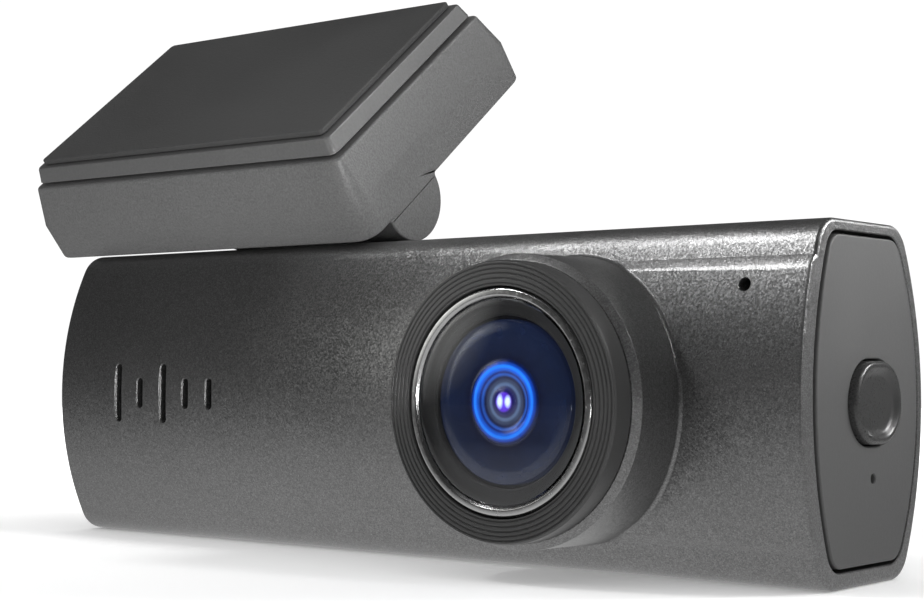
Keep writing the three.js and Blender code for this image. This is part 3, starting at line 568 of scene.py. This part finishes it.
# ------------------------------------------------------------ housing
def front_face_y(x, z):
    """How far the outside of the front stands toward -Y at (x, z), raised face included."""
    depth = front_depth(x)
    rise = BODY_HEIGHT / 2 - CORNER_RADIUS
    gap = FLAT_HALF - depth
    big = (CORNER_RADIUS**2 - gap**2 - rise**2) / (2 * (gap + CORNER_RADIUS))
    meet_z = big * rise / (big - CORNER_RADIUS)
    off = abs(z - MID_Z)
    if off <= meet_z:
        reach = depth - big + math.sqrt(big**2 - off**2)
    else:
        inside = max(0.0, CORNER_RADIUS**2 - (off - rise) ** 2)
        reach = FLAT_HALF + math.sqrt(inside)
    if x >= LENS_X:
        reach = max(reach, pad_reach(z))
    return -reach


def pad_reach(z):
    half = (PAD_TOP - PAD_BOTTOM) / 2 - PAD_BEVEL
    radius = (half**2 + (PAD_FACE - PAD_EDGE) ** 2) / (2 * (PAD_FACE - PAD_EDGE))
    off = abs(z - MID_Z)
    if off <= half:
        return math.sqrt(radius**2 - off**2) + PAD_FACE - radius
    if off <= half + PAD_BEVEL:
        return PAD_EDGE - 0.85 * (off - half) / PAD_BEVEL
    return 0.0


def pad_outline(grow):
    points = []
    low, high = PAD_BOTTOM + PAD_BEVEL, PAD_TOP - PAD_BEVEL
    steps = 40
    for i in range(steps + 1):
        z = lerp(low, high, i / steps)
        points.append((-pad_reach(z) - grow, z))
    points.append((-PAD_EDGE + 0.85 - grow, PAD_TOP + grow))
    points.append((-8, PAD_TOP + grow))
    points.append((-8, PAD_BOTTOM - grow))
    points.append((-PAD_EDGE + 0.85 - grow, PAD_BOTTOM - grow))
    return points


EDGE_STEPS = 4


def rounded_ends(x0, x1, radius, between):
    """(x, grow) levels of a bar whose two ends are rounded off."""
    levels = []
    for i in range(EDGE_STEPS + 1):
        a = math.pi / 2 * i / EDGE_STEPS
        levels.append((x0 + radius * (1 - math.sin(a)), -radius * (1 - math.cos(a))))
    levels = levels[::-1]
    left = sorted(levels)
    right = [(x1 - (x - x0), grow) for x, grow in left][::-1]
    middle = [(lerp(left[-1][0], right[0][0], (i + 1) / (between + 1)), 0.0) for i in range(between)]
    return left + middle + right


def opening_in_front(name, outline, depth=4.0, flare=0.16):
    """A cutter for a hole in the front, with a small chamfer that follows the curved face.

    outline(grow) gives (x, z) points."""
    levels = ((flare * 2, flare), (-flare, 0.0), (-depth, 0.0))
    rings = []
    for rise, grow in levels:
        flared = max(0.0, grow * 2 if rise > 0 else 0.0)
        rings.append([(x, front_face_y(x, z) - rise, z) for x, z in outline(flared)])
    return loft(name, rings)


def upright(name, x, length, width, radius, levels):
    """A rounded block round the cover's middle line; levels are (z, grow)."""
    rings = []
    for z, g in levels:
        outline = rounded_box(x, COVER_Y, length + 2 * g, width + 2 * g, radius + g)
        rings.append([(a, b, z) for a, b in outline])
    return loft(name, rings)


def build_housing():
    levels = rounded_ends(LEFT_END, RIGHT_END, 0.45, 52)
    rings = [[(x, y, z) for y, z in body_section(x, grow)] for x, grow in levels]
    body = loft("housing_skin", rings)
    pad_levels = [(LENS_X, 0.0), (RIGHT_END - 0.4, 0.0), (RIGHT_END - 0.12, -0.1), (RIGHT_END - 0.001, -0.35)]
    pad = along_x("pad", pad_outline, pad_levels)
    combine(body, pad, operation="UNION")

    inner = [[(x, y, z) for y, z in body_section(x, -WALL)] for x in (LEFT_END + 2.0, RIGHT_END - 2.0)]
    cutters = [loft("cavity", inner)]
    for end, away in ((RIGHT_END, 1), (LEFT_END, -1)):
        levels = [(end + away, 1.48), (end - away * 0.12, 0.4), (end - away * 2.4, 0.4)]
        cutters.append(along_x("recess", panel_section, levels))
    cutters.append(lathe("lens_opening", [(0, -20), (13.6, -20), (13.6, -6), (0, -6)], LENS_X, LENS_Z, 96))
    for x, height in SPEAKER_SLOTS:
        shape = lambda g, x=x, h=height: rounded_box(x, SLOT_Z, 1.0 + 2 * g, h + 2 * g, 0.46 + g)
        cutters.append(opening_in_front("slot", shape))
    microphone = lambda g: circle(MICROPHONE_X, MICROPHONE_Z, MICROPHONE_RADIUS + g, 40)
    cutters.append(opening_in_front("mic_hole", microphone, flare=0.09))
    cutters.append(upright("cover_hole", 0, 72.4, 7.2, 1.2, ((-0.3, 0.42), (0.12, 0.0), (4, 0.0))))
    box = rounded_box((FOOT_LEFT + FOOT_RIGHT) / 2, -1.0, FOOT_RIGHT - FOOT_LEFT - 1.8, 6.4, 0.3)
    cutters.append(loft("foot_hole", [[(a, b, z) for a, b in box] for z in (33, 37)]))
    combine(body, *cutters)
    return cleaned(body)


finish_piece(build_housing(), "camera", "body_paint", BODY_PAINT, "housing")


def build_cover():
    """The cover in the underside, with a snap flange inside and slots for warm air."""
    levels = [(0.0, -0.15), (0.15, 0.0), (1.9, 0.0), (1.9, 0.8), (2.4, 0.8)]
    cover = upright("underside_vent_cover", 0, 72.0, 6.8, 1.0, levels)
    cutters = []
    for x in (-32, -27, -22, -17, 17, 22, 27, 32):
        cutters.append(upright("vent", x, 1.4, 4.4, 0.69, ((-0.3, 0.5), (0.2, 0.1), (4, 0.1))))
    return cleaned(combine(cover, *cutters))


finish_piece(build_cover(), "camera", "panel_plastic", PANEL_PLASTIC, "underside_cover")

# ------------------------------------------------------------ lens hood
def build_hood():
    """A turned shell whose foot spreads in a small round onto the curved front."""
    fillet = 0.45
    shell = filleted([
        (HOOD_BASE_RADIUS, -13.4, 0),
        (HOOD_RADIUS, -16.0, 3),
        (HOOD_RADIUS, HOOD_SHOULDER, 0.1),
        (BEZEL_RADIUS + 0.1, HOOD_FRONT, 0.08),
        (SEAT_RADIUS, HOOD_FRONT, 0.0),
        (SEAT_RADIUS, SEAT_FRONT, 0.0),
        (HOOD_BORE, SEAT_FRONT, 0.0),
        (HOOD_BORE, -10.0, 0.0),
    ])[1:]
    segments = 180
    rings = []
    for s in range(segments):
        a = 2 * math.pi * s / segments
        c, d = math.cos(a), math.sin(a)
        ring = []
        for r in (HOOD_BORE, 14.0, HOOD_BASE_RADIUS + fillet + 0.02):
            x, z = LENS_X + r * c, LENS_Z + r * d
            ring.append((x, front_face_y(x, z) + (0.5 if r < 15 else 0.25), z))
        steps = 7
        for k in range(steps + 1):
            t = math.pi / 2 * (1 - k / steps)
            r = HOOD_BASE_RADIUS + fillet * (1 - math.cos(t))
            x, z = LENS_X + r * c, LENS_Z + r * d
            ring.append((x, front_face_y(x, z) + 0.01 - fillet * (1 - math.sin(t)), z))
        for r, y in shell:
            ring.append((LENS_X + r * c, y, LENS_Z + r * d))
        rings.append(ring)
    return loft("lens_hood_skin", rings, closed=True)


finish_piece(build_hood(), "camera", "body_paint", BODY_PAINT, "lens_hood", weighted=False)


def turned_piece(name, profile, slot, material, *nodes, segments=144, angle=28, steps=5):
    obj = lathe(name, filleted(profile, steps), LENS_X, LENS_Z, segments)
    return finish_piece(obj, "camera", slot, material, *nodes, angle=angle, weighted=False)


def bezel_profile():
    points = [(11.55, -21.4, 0), (11.55, BEZEL_FRONT + 0.12, 0.1), (11.6, BEZEL_FRONT, 0.03)]
    for r in (11.8, 12.3, 12.8, 13.25, 13.7):
        points.append((r - 0.11, BEZEL_FRONT, 0.03))
        points.append((r, BEZEL_FRONT + 0.2, 0.04))
        points.append((r + 0.11, BEZEL_FRONT, 0.03))
    points.append((13.93, BEZEL_FRONT, 0.03))
    points.append((BEZEL_RADIUS, BEZEL_FRONT + 0.3, 0.1))
    points += [(BEZEL_RADIUS, HOOD_FRONT - 0.1, 0), (13.3, HOOD_FRONT - 0.1, 0), (13.3, -21.4, 0)]
    return points


turned_piece("grooved_ring", bezel_profile(), "bezel_black", BEZEL_BLACK, "bezel_ring", segments=180, steps=3)
turned_piece(
    "chrome_ring",
    [
        (10.38, -21.5, 0),
        (10.38, -22.62, 0.1),
        (10.62, -22.93, 0.22),
        (11.2, -22.93, 0.28),
        (11.42, -22.6, 0.1),
        (11.42, -21.5, 0),
    ],
    "bright_rim",
    CHROME,
    "rim_ring",
    segments=180,
)


def build_cover_glass():
    """The cover glass bulges a little, with a ground edge under the bright ring."""
    profile = [(0, -21.62)]
    ball = 10.0**2 / (2 * 0.2)
    for i in range(25):
        r = 10.0 * i / 24
        profile.append((r, -22.95 + r**2 / (2 * ball)))
    profile += [(10.2, -22.68), (10.3, -22.5), (10.3, -21.62)]
    glass = lathe("lens_cover_glass", profile, LENS_X, LENS_Z, 160)
    glass.visible_shadow = False
    return finish_piece(glass, "camera", "cover_glass", COVER_GLASS, "cover_glass", weighted=False)


build_cover_glass()
turned_piece(
    "lens_mask_ring",
    [(8.6, -20.8, 0), (8.6, -21.2, 0.05), (8.8, -21.4, 0.05), (11.95, -21.4, 0), (11.95, -20.8, 0)],
    "matte_black",
    MATTE,
    "mask_ring",
)


def dome(name, radius, apex, edge, back, material, node, steps=20, slot="coated_lens"):
    """A lens element: a spherical front, a ground edge and a flat back."""
    rise = edge - apex
    ball = (radius**2 + rise**2) / (2 * rise)
    profile = [(0, back)]
    for i in range(steps + 1):
        r = radius * i / steps
        profile.append((r, apex + ball - math.sqrt(ball**2 - r**2)))
    profile.append((radius, back))
    obj = lathe(name, profile, LENS_X, LENS_Z, 96)
    return finish_piece(obj, "camera", slot, material, node, weighted=False)


def build_front_element():
    """The wide front element: a flat coated face with a polished ring and a small bulging heart. Its bright
    colours are painted reflections in the coating.
    """
    face = corners("front_lens")[0].y - 0.06
    profile = [(0, corners("front_lens")[1].y), (0, face - 0.02)]
    for r, y in ((0.5, 0.0), (0.9, 0.06), (1.15, 0.16), (1.5, 0.3), (2.1, 0.34), (2.55, 0.26), (2.9, 0.16)):
        profile.append((r, face + y))
    for r, y in ((3.25, 0.04), (3.6, 0.0), (3.9, 0.06), (4.15, 0.18), (4.5, 0.2), (5.5, 0.12), (6.8, 0.08)):
        profile.append((r, face + y))
    profile += [(8.1, face + 0.1), (8.2, face + 0.2), (8.2, corners("front_lens")[1].y)]
    obj = lathe("front_element", profile, LENS_X, LENS_Z, 144)
    return finish_piece(obj, "camera", "coated_lens", FRONT_COAT_AND_PAINTED_LIGHT, "front_lens", angle=60, weighted=False)


build_front_element()
HEART_APEX = corners("middle_lens")[0].y
dome("middle_element", 2.6, HEART_APEX, HEART_APEX + 0.95, HEART_APEX + 3, HEART_BLUE, "middle_lens")
BARREL_LIP = corners("lens_barrel")[0].y
turned_piece(
    "lens_barrel_tube",
    [
        (3.2, -5.6, 0), (6, -5.6, 0.2), (6, -14.6, 0.3), (9.2, -15.6, 0.3),
        (9.2, BARREL_LIP, 0.1), (8.35, BARREL_LIP, 0.05), (8.35, BARREL_LIP + 0.25, 0.05),
        (4.9, BARREL_LIP + 0.35, 0.3), (4.25, BARREL_LIP + 0.55, 0.1), (4.2, -16.2, 0), (3.2, -15.8, 0),
    ],
    "anodised_black",
    BARREL_INK,
    "lens_barrel",
)
SPACER_FRONT = corners("lens_spacer_ring")[0].y
turned_piece(
    "lens_inner_ring",
    [
        (2.7, SPACER_FRONT + 3, 0), (2.7, SPACER_FRONT + 0.5, 0.1), (3.0, SPACER_FRONT + 0.42, 0.1),
        (3.35, SPACER_FRONT, 0.2), (3.8, SPACER_FRONT, 0.25), (4.05, SPACER_FRONT + 0.4, 0.1),
        (4.05, SPACER_FRONT + 3, 0),
    ],
    "anodised_black",
    RING_BLUE,
    "lens_spacer_ring",
)


# ------------------------------------------------------------ end panels and button
def build_right_panel():
    levels = rounded_ends(RIGHT_END - 1.9, RIGHT_END + 0.15, 0.22, 2)
    panel = along_x("right_end_cap", panel_section, levels)
    hole = lambda g: stadium(BUTTON_Y, BUTTON_Z, BUTTON_HALF_WIDTH + 0.2 + g, BUTTON_RADIUS + 0.2 + g)
    pinhole = lambda g: circle(BUTTON_Y, PINHOLE_Z, PINHOLE_RADIUS + g, 32)
    face = RIGHT_END + 0.15
    combine(
        panel,
        along_x("hole", hole, [(face + 0.3, 0.42), (face - 0.12, 0.0), (RIGHT_END - 4, 0.0)]),
        along_x("pin", pinhole, [(face + 0.3, 0.4), (face - 0.1, 0), (RIGHT_END - 4, 0)]),
    )
    return cleaned(panel)


finish_piece(build_right_panel(), "camera", "panel_plastic", PANEL_PLASTIC, "right_end_panel")


def build_button():
    """A stadium-shaped key with a raised rim round a dished middle."""
    face = BUTTON_FACE
    levels = [(RIGHT_END - 2.6, 0.0), (face - 0.42, 0.0)]
    for i in range(1, 5):
        a = math.pi / 2 * i / 4
        levels.append((face - 0.42 + 0.3 * math.sin(a) + 0.12 * (i / 4), -0.34 * (1 - math.cos(a))))
    levels += [(face, -0.62), (face - 0.04, -0.72), (face - 0.16, -0.9), (face - 0.34, -1.12)]
    levels.append((face - 0.46, -1.36))
    levels += [(face - 0.5, inset) for inset in (-1.65, -2.4, -3.3, -3.9)]
    outline = lambda g: stadium(BUTTON_Y, BUTTON_Z, BUTTON_HALF_WIDTH + g, BUTTON_RADIUS + g, 24)
    return along_x("power_key_cap", outline, levels)


finish_piece(build_button(), "power_key", "panel_plastic", KEY_PLASTIC, "power_button", weighted=False)


def build_left_panel():
    levels = rounded_ends(LEFT_END - 0.15, LEFT_END + 1.9, 0.22, 2)
    panel = along_x("left_end_cap", panel_section, levels)
    face = LEFT_END - 0.15
    usb = lambda g: rounded_box(0.65, USB_Z, 3.6 + 2 * g, 9.4 + 2 * g, 1.79 + g, 8)
    card = lambda g: rounded_box(1.45, CARD_Z, 1.9 + 2 * g, 12.4 + 2 * g, 0.6 + g)
    thumb = lambda g: circle(0.55, CARD_Z, 2.6 + g, 48)
    combine(
        panel,
        along_x("usb", usb, [(face - 0.3, 0.5), (face + 0.2, 0.0), (LEFT_END + 4, 0.0)]),
        along_x("card", card, [(face - 0.3, 0.45), (face + 0.15, 0.0), (LEFT_END + 4, 0.0)]),
        along_x("thumb", thumb, [(face - 0.3, 0.7), (face + 0.4, 0.0), (LEFT_END + 0.8, -0.5)]),
    )
    return cleaned(panel)


finish_piece(build_left_panel(), "camera", "panel_plastic", PANEL_PLASTIC, "left_end_panel")


# ------------------------------------------------------------ bracket
def tilted(x, v, n):
    """From the bracket's own frame (along, up the bracket, square to the pad) to the CAD frame."""
    y = HINGE_Y + v * math.cos(TILT) - n * math.sin(TILT)
    z = HINGE_Z + v * math.sin(TILT) + n * math.cos(TILT)
    return (x, y, z)


def plate_ring(inset_x, inset_v, radius, n, spread=0.0, steps=8):
    x0, x1 = BRACKET_LEFT + inset_x - spread, BRACKET_RIGHT - inset_x
    v0, v1 = BRACKET_FRONT + inset_v, BRACKET_BACK - inset_v + spread
    outline = rounded_box((x0 + x1) / 2, (v0 + v1) / 2, x1 - x0, v1 - v0, radius, steps)
    return [tilted(x, v, n) for x, v in outline]


def bracket_slab(name, levels):
    return loft(name, [plate_ring(*level) for level in levels])


def bracket_rod(name, radius, x0, x1, segments=96):
    rings = []
    for x in (x0, x1):
        rings.append([tilted(x, v, n) for v, n in circle(0, 0, radius, segments)])
    return loft(name, rings)


def bracket_box(name, x0, x1, v0, v1, n0, n1):
    rings = []
    for n in (n0, n1):
        rings.append([tilted(x, v, n) for x, v in ((x0, v0), (x1, v0), (x1, v1), (x0, v1))])
    return loft(name, rings)


def build_bracket():
    body = bracket_slab("windscreen_bracket", [
        (0, 0, 2.5, BRACKET_UNDER, BRACKET_SPREAD),
        (0, 0, 2.5, BRACKET_WAIST, BRACKET_SPREAD),
        (0.89, 1.64, 0.9, BRACKET_TOP),
    ])
    combine(
        body,
        bracket_rod("right_knuckle", KNUCKLE_RADIUS, KNUCKLE_R_IN, BRACKET_RIGHT),
        bracket_rod("left_knuckle", KNUCKLE_RADIUS, KNUCKLE_L_OUT, KNUCKLE_L_IN),
        operation="UNION",
    )
    combine(
        body,
        bracket_rod("foot_space", 6.0, KNUCKLE_L_IN, KNUCKLE_R_IN),
        bracket_box("nut_space", KNUCKLE_L_IN - 9, KNUCKLE_L_OUT, -4.4, 4.4, -2, 4.2),
        bracket_rod("shaft_hole", 2.1, KNUCKLE_L_OUT - 1, -5.1, 48),
    )
    cleaned(body)
    soften(body, 0.28, 3, 24)
    return body


finish_piece(
    build_bracket(),
    "bracket",
    "dark_plastic",
    TEXTURED,
    "bracket_body",
    "bracket_screw_1",
    "bracket_screw_2",
)
finish_piece(
    bracket_slab("windscreen_plate", [
        (1.75, 2.55, 0.7, BRACKET_TOP + 0.28),
        (1.45, 2.25, 0.9, BRACKET_TOP + 0.5),
        (1.92, 2.72, 0.7, 12.65),
        (2.0, 2.8, 0.7, 12.78),
        (2.15, 2.95, 0.6, 12.85),
    ]),
    "bracket",
    "dark_plastic",
    DARK_PLASTIC,
    "mounting_plate",
)
finish_piece(
    bracket_slab("sticky_pad", [
        (3.0, 3.45, 0.6, 13.02),
        (2.95, 3.4, 0.6, 13.12),
        (2.95, 3.4, 0.6, 13.55),
        (3.02, 3.47, 0.55, 13.65),
        (3.15, 3.6, 0.5, 13.69),
    ]),
    "bracket",
    "foam_tape",
    FOAM,
    "adhesive_pad",
)


def build_foot():
    outline = [(-5.4, 36.02, 0), (4.4, 36.02, 0), (4.4, 36.3, 0.1)]
    for i in range(41):
        a = math.radians(-28 + i * 236 / 40)
        outline.append((HINGE_Y + 4.7 * math.cos(a), HINGE_Z + 4.7 * math.sin(a), 0))
    outline.append((-5.4, 36.3, 0.1))
    points = filleted(outline)
    foot = loft("hinge_foot_block", [[(x, y, z) for y, z in points] for x in (FOOT_LEFT, FOOT_RIGHT)])
    hole = rod("hole", [(0, -30), (2.1, -30), (2.1, -5), (0, -5)], HINGE_Y, HINGE_Z, 48)
    combine(foot, hole)
    return soften(cleaned(foot), 0.2, 2, 40)


finish_piece(build_foot(), "camera", "dark_plastic", DARK_PLASTIC, "hinge_foot")

# ------------------------------------------------------------ pieces kept from the CAD
KEPT = {
    CHIP: ("processor", "memory_chip", "motion_sensor", "memory_card", "speaker_frame"),
    SHIELD: (
        "power_switch", "reset_switch", "image_sensor", "wireless_module", "usb_socket", "card_socket",
        "speaker_magnet", "foot_retainer",
    ),
    SCREW: (
        "sensor_screw_1", "sensor_screw_2", "board_screw_1", "board_screw_2", "board_screw_3",
        "board_screw_4", "foot_screw_1", "foot_screw_2", "hinge_shaft", "friction_washer_1",
        "friction_washer_2",
    ),
    RUBBER: ("power_switch_plunger", "speaker_gasket", "microphone_boot"),
    ANODISED: ("microphone",),
    MATTE: ("lens_holder",),
    BOARD: ("sensor_board", "main_board"),
    AMBER: ("sensor_flex",),
    GREY_PAD: ("thermal_pad",),
    ALUMINIUM: ("heat_spreader",),
    GOLD: ("wireless_antenna",),
    SLEEVE: ("supercapacitor_1", "supercapacitor_2"),
    PAPER: ("speaker_cone",),
    DARK_PLASTIC: ("chassis",),
    COATED: ("rear_lens",),
}
for material, names in KEPT.items():
    for name in names:
        mesh = NODES[name].data
        mesh.materials.clear()
        mesh.materials.append(material)

# ------------------------------------------------------------ floor, light and camera
FLOOR_RADIUS = 0.75


def build_floor():
    steps = 96
    verts = [(0.0, 0.0, 0.0)]
    rings = (0.2, 0.45, FLOOR_RADIUS)
    for radius in rings:
        for i in range(steps):
            a = 2 * math.pi * i / steps
            verts.append((radius / MM * math.cos(a), radius / MM * math.sin(a), 0.0))
    faces = [(0, 1 + i, 1 + (i + 1) % steps) for i in range(steps)]
    for k in range(len(rings) - 1):
        for i in range(steps):
            a, b = 1 + k * steps + i, 1 + k * steps + (i + 1) % steps
            faces.append((a, a + steps, b + steps, b))
    floor = mesh_object("floor", verts, faces)
    floor.location.z = -0.00005
    s = Shader("floor_paper", Roughness=0.9, Specular_IOR_Level=0.1)
    s.shader.inputs["Base Color"].default_value = (0.92, 0.92, 0.92, 1)
    far = s.length(s.place)
    s.shader.inputs["Emission Color"].default_value = (1, 1, 1, 1)
    s.set("Emission Strength", s.spread(far, 0.16, 1.0, 0.07, 0.24))
    card = s.node("ShaderNodeEmission", {"Strength": s.spread(far, FLOOR_NEAR, FLOOR_FAR, 0.03, 0.22)})
    mirrored = s.node("ShaderNodeLightPath").outputs["Is Glossy Ray"]
    mix = s.node("ShaderNodeMixShader", {0: mirrored, 1: s.shader.outputs[0], 2: card.outputs[0]})
    s.tree.links.new(mix.outputs[0], s.tree.nodes["Material Output"].inputs["Surface"])
    floor.data.materials.append(s.material)


FLOOR_NEAR, FLOOR_FAR = 0.85, 0.10
build_floor()

# Soft patches of the studio that only show in reflections: direction, brightness, and the
# cosines where a patch starts and where it is full.
REFLECTED = (
    ((0.75, 0.55, 0.35), 0.16, 0.80, 0.98),
    ((-0.30, -0.20, 0.93), 0.15, 0.92, 0.99),
)
REFLECTED_BASE = 0.035
AMBIENT = 1.0


def build_world():
    world = bpy.data.worlds.new("studio")
    bpy.context.scene.world = world
    world.use_nodes = True
    tree = world.node_tree
    tree.nodes.clear()

    def node(kind, inputs, **settings):
        made = tree.nodes.new(kind)
        for key, value in settings.items():
            setattr(made, key, value)
        for key, value in inputs.items():
            if isinstance(value, bpy.types.NodeSocket):
                tree.links.new(value, made.inputs[key])
            else:
                made.inputs[key].default_value = value
        return made

    way = node("ShaderNodeTexCoord", {}).outputs["Generated"]
    way = node("ShaderNodeVectorMath", {0: way}, operation="NORMALIZE").outputs[0]
    total = REFLECTED_BASE
    for direction, bright, start, full in REFLECTED:
        aim = tuple(Vector(direction).normalized())
        dot = node("ShaderNodeVectorMath", {0: way, 1: aim}, operation="DOT_PRODUCT").outputs["Value"]
        inputs = {"Value": dot, "From Min": start, "From Max": full, "To Min": 0.0, "To Max": bright}
        patch = node("ShaderNodeMapRange", inputs, interpolation_type="SMOOTHSTEP").outputs[0]
        total = node("ShaderNodeMath", {0: patch, 1: total}, operation="ADD").outputs[0]
    rays = node("ShaderNodeLightPath", {}).outputs
    glossy = node("ShaderNodeBackground", {"Color": (1, 1, 1, 1), "Strength": total})
    diffuse = node("ShaderNodeBackground", {"Color": (1, 1, 1, 1), "Strength": AMBIENT})
    seen = node("ShaderNodeBackground", {"Color": (1, 1, 1, 1), "Strength": 1.05})
    lit = node("ShaderNodeMixShader", {0: rays["Is Glossy Ray"], 1: diffuse.outputs[0], 2: glossy.outputs[0]})
    both = node("ShaderNodeMixShader", {0: rays["Is Camera Ray"], 1: lit.outputs[0], 2: seen.outputs[0]})
    node("ShaderNodeOutputWorld", {"Surface": both.outputs[0]})


build_world()


def soft_light(name, place, target, width, height, power, shade=(1, 1, 1)):
    data = bpy.data.lights.new(name, "AREA")
    data.shape = "RECTANGLE"
    data.size, data.size_y = width, height
    data.energy = power
    data.color = shade
    lamp = bpy.data.objects.new(name, data)
    lamp.location = place
    lamp.rotation_mode = "QUATERNION"
    lamp.rotation_quaternion = (Vector(target) - Vector(place)).to_track_quat("-Z", "Y")
    bpy.context.scene.collection.objects.link(lamp)
    return lamp


def spot_light(name, place, target, power, cone, blend, radius):
    data = bpy.data.lights.new(name, "SPOT")
    data.energy = power
    data.spot_size = math.radians(cone)
    data.spot_blend = blend
    data.shadow_soft_size = radius
    lamp = bpy.data.objects.new(name, data)
    lamp.location = place
    lamp.rotation_mode = "QUATERNION"
    lamp.rotation_quaternion = (Vector(target) - Vector(place)).to_track_quat("-Z", "Y")
    bpy.context.scene.collection.objects.link(lamp)
    return lamp


spot_light("key_spot", (-0.084, -0.120, 0.217), (0.060, -0.010, 0.028), 2.1, 20, 1.0, 0.035)
spot_light("bracket_spot", (0.250, 0.050, 0.250), (-0.004, 0.010, 0.056), 7.0, 14, 0.6, 0.05)
spot_light("low_spot", (0.120, -0.100, 0.010), (-0.042, -0.006, 0.047), 1.3, 20, 0.8, 0.02)
soft_light("right_softbox", (0.36, 0.30, 0.23), (0, 0, 0.05), 0.22, 0.22, 0.2)
spot_light("end_spot", (0.160, 0.100, 0.100), (0.054, 0.0, 0.034), 1.3, 20, 1.0, 0.02)


def build_sheen_card():
    """A soft card close ahead of the lens, hidden from the camera, shadows and diffuse light."""
    centre, reach = Vector((-13.0, -50.0, 35.0)), 19.0
    steps = 48
    verts = [tuple(centre)]
    verts += [(centre.x + reach * c, centre.y, centre.z + reach * d) for c, d in circle(0, 0, 1.0, steps)]
    card = mesh_object("sheen_card", verts, [(0, 1 + i, 1 + (i + 1) % steps) for i in range(steps)])
    card.visible_camera = card.visible_shadow = card.visible_diffuse = False
    s = Shader("sheen_card", Roughness=1.0)
    s.shader.inputs["Base Color"].default_value = (0, 0, 0, 1)
    far = s.length(s.vector("SUBTRACT", s.place, tuple(centre * MM)))
    s.shader.inputs["Emission Color"].default_value = (1, 1, 0.97, 1)
    s.set("Emission Strength", s.spread(far, SHEEN, 0.0, 3 * MM, reach * MM))
    card.data.materials.append(s.material)


SHEEN = 3.0
build_sheen_card()


def build_camera():
    """A long lens to the right of the lens axis, near the table and looking slightly up."""
    yaw, pitch, roll = math.radians(39.052), math.radians(1.827), math.radians(0.109)
    data = bpy.data.cameras.new("camera")
    data.sensor_width = 36.0
    data.lens = 71.03
    data.clip_start, data.clip_end = 0.01, 20.0
    eye = bpy.data.objects.new("view_camera", data)
    eye.location = (0.136855, -0.165213, 0.021650)
    forward = Vector((-math.sin(yaw) * math.cos(pitch), math.cos(yaw) * math.cos(pitch), math.sin(pitch)))
    eye.rotation_mode = "QUATERNION"
    aim = forward.to_track_quat("-Z", "Y")
    eye.rotation_quaternion = aim @ Matrix.Rotation(roll, 3, "Z").to_quaternion()
    bpy.context.scene.collection.objects.link(eye)
    bpy.context.scene.camera = eye


build_camera()
bpy.context.scene.view_settings.view_transform = "Standard"
bpy.context.scene.view_settings.look = "None"
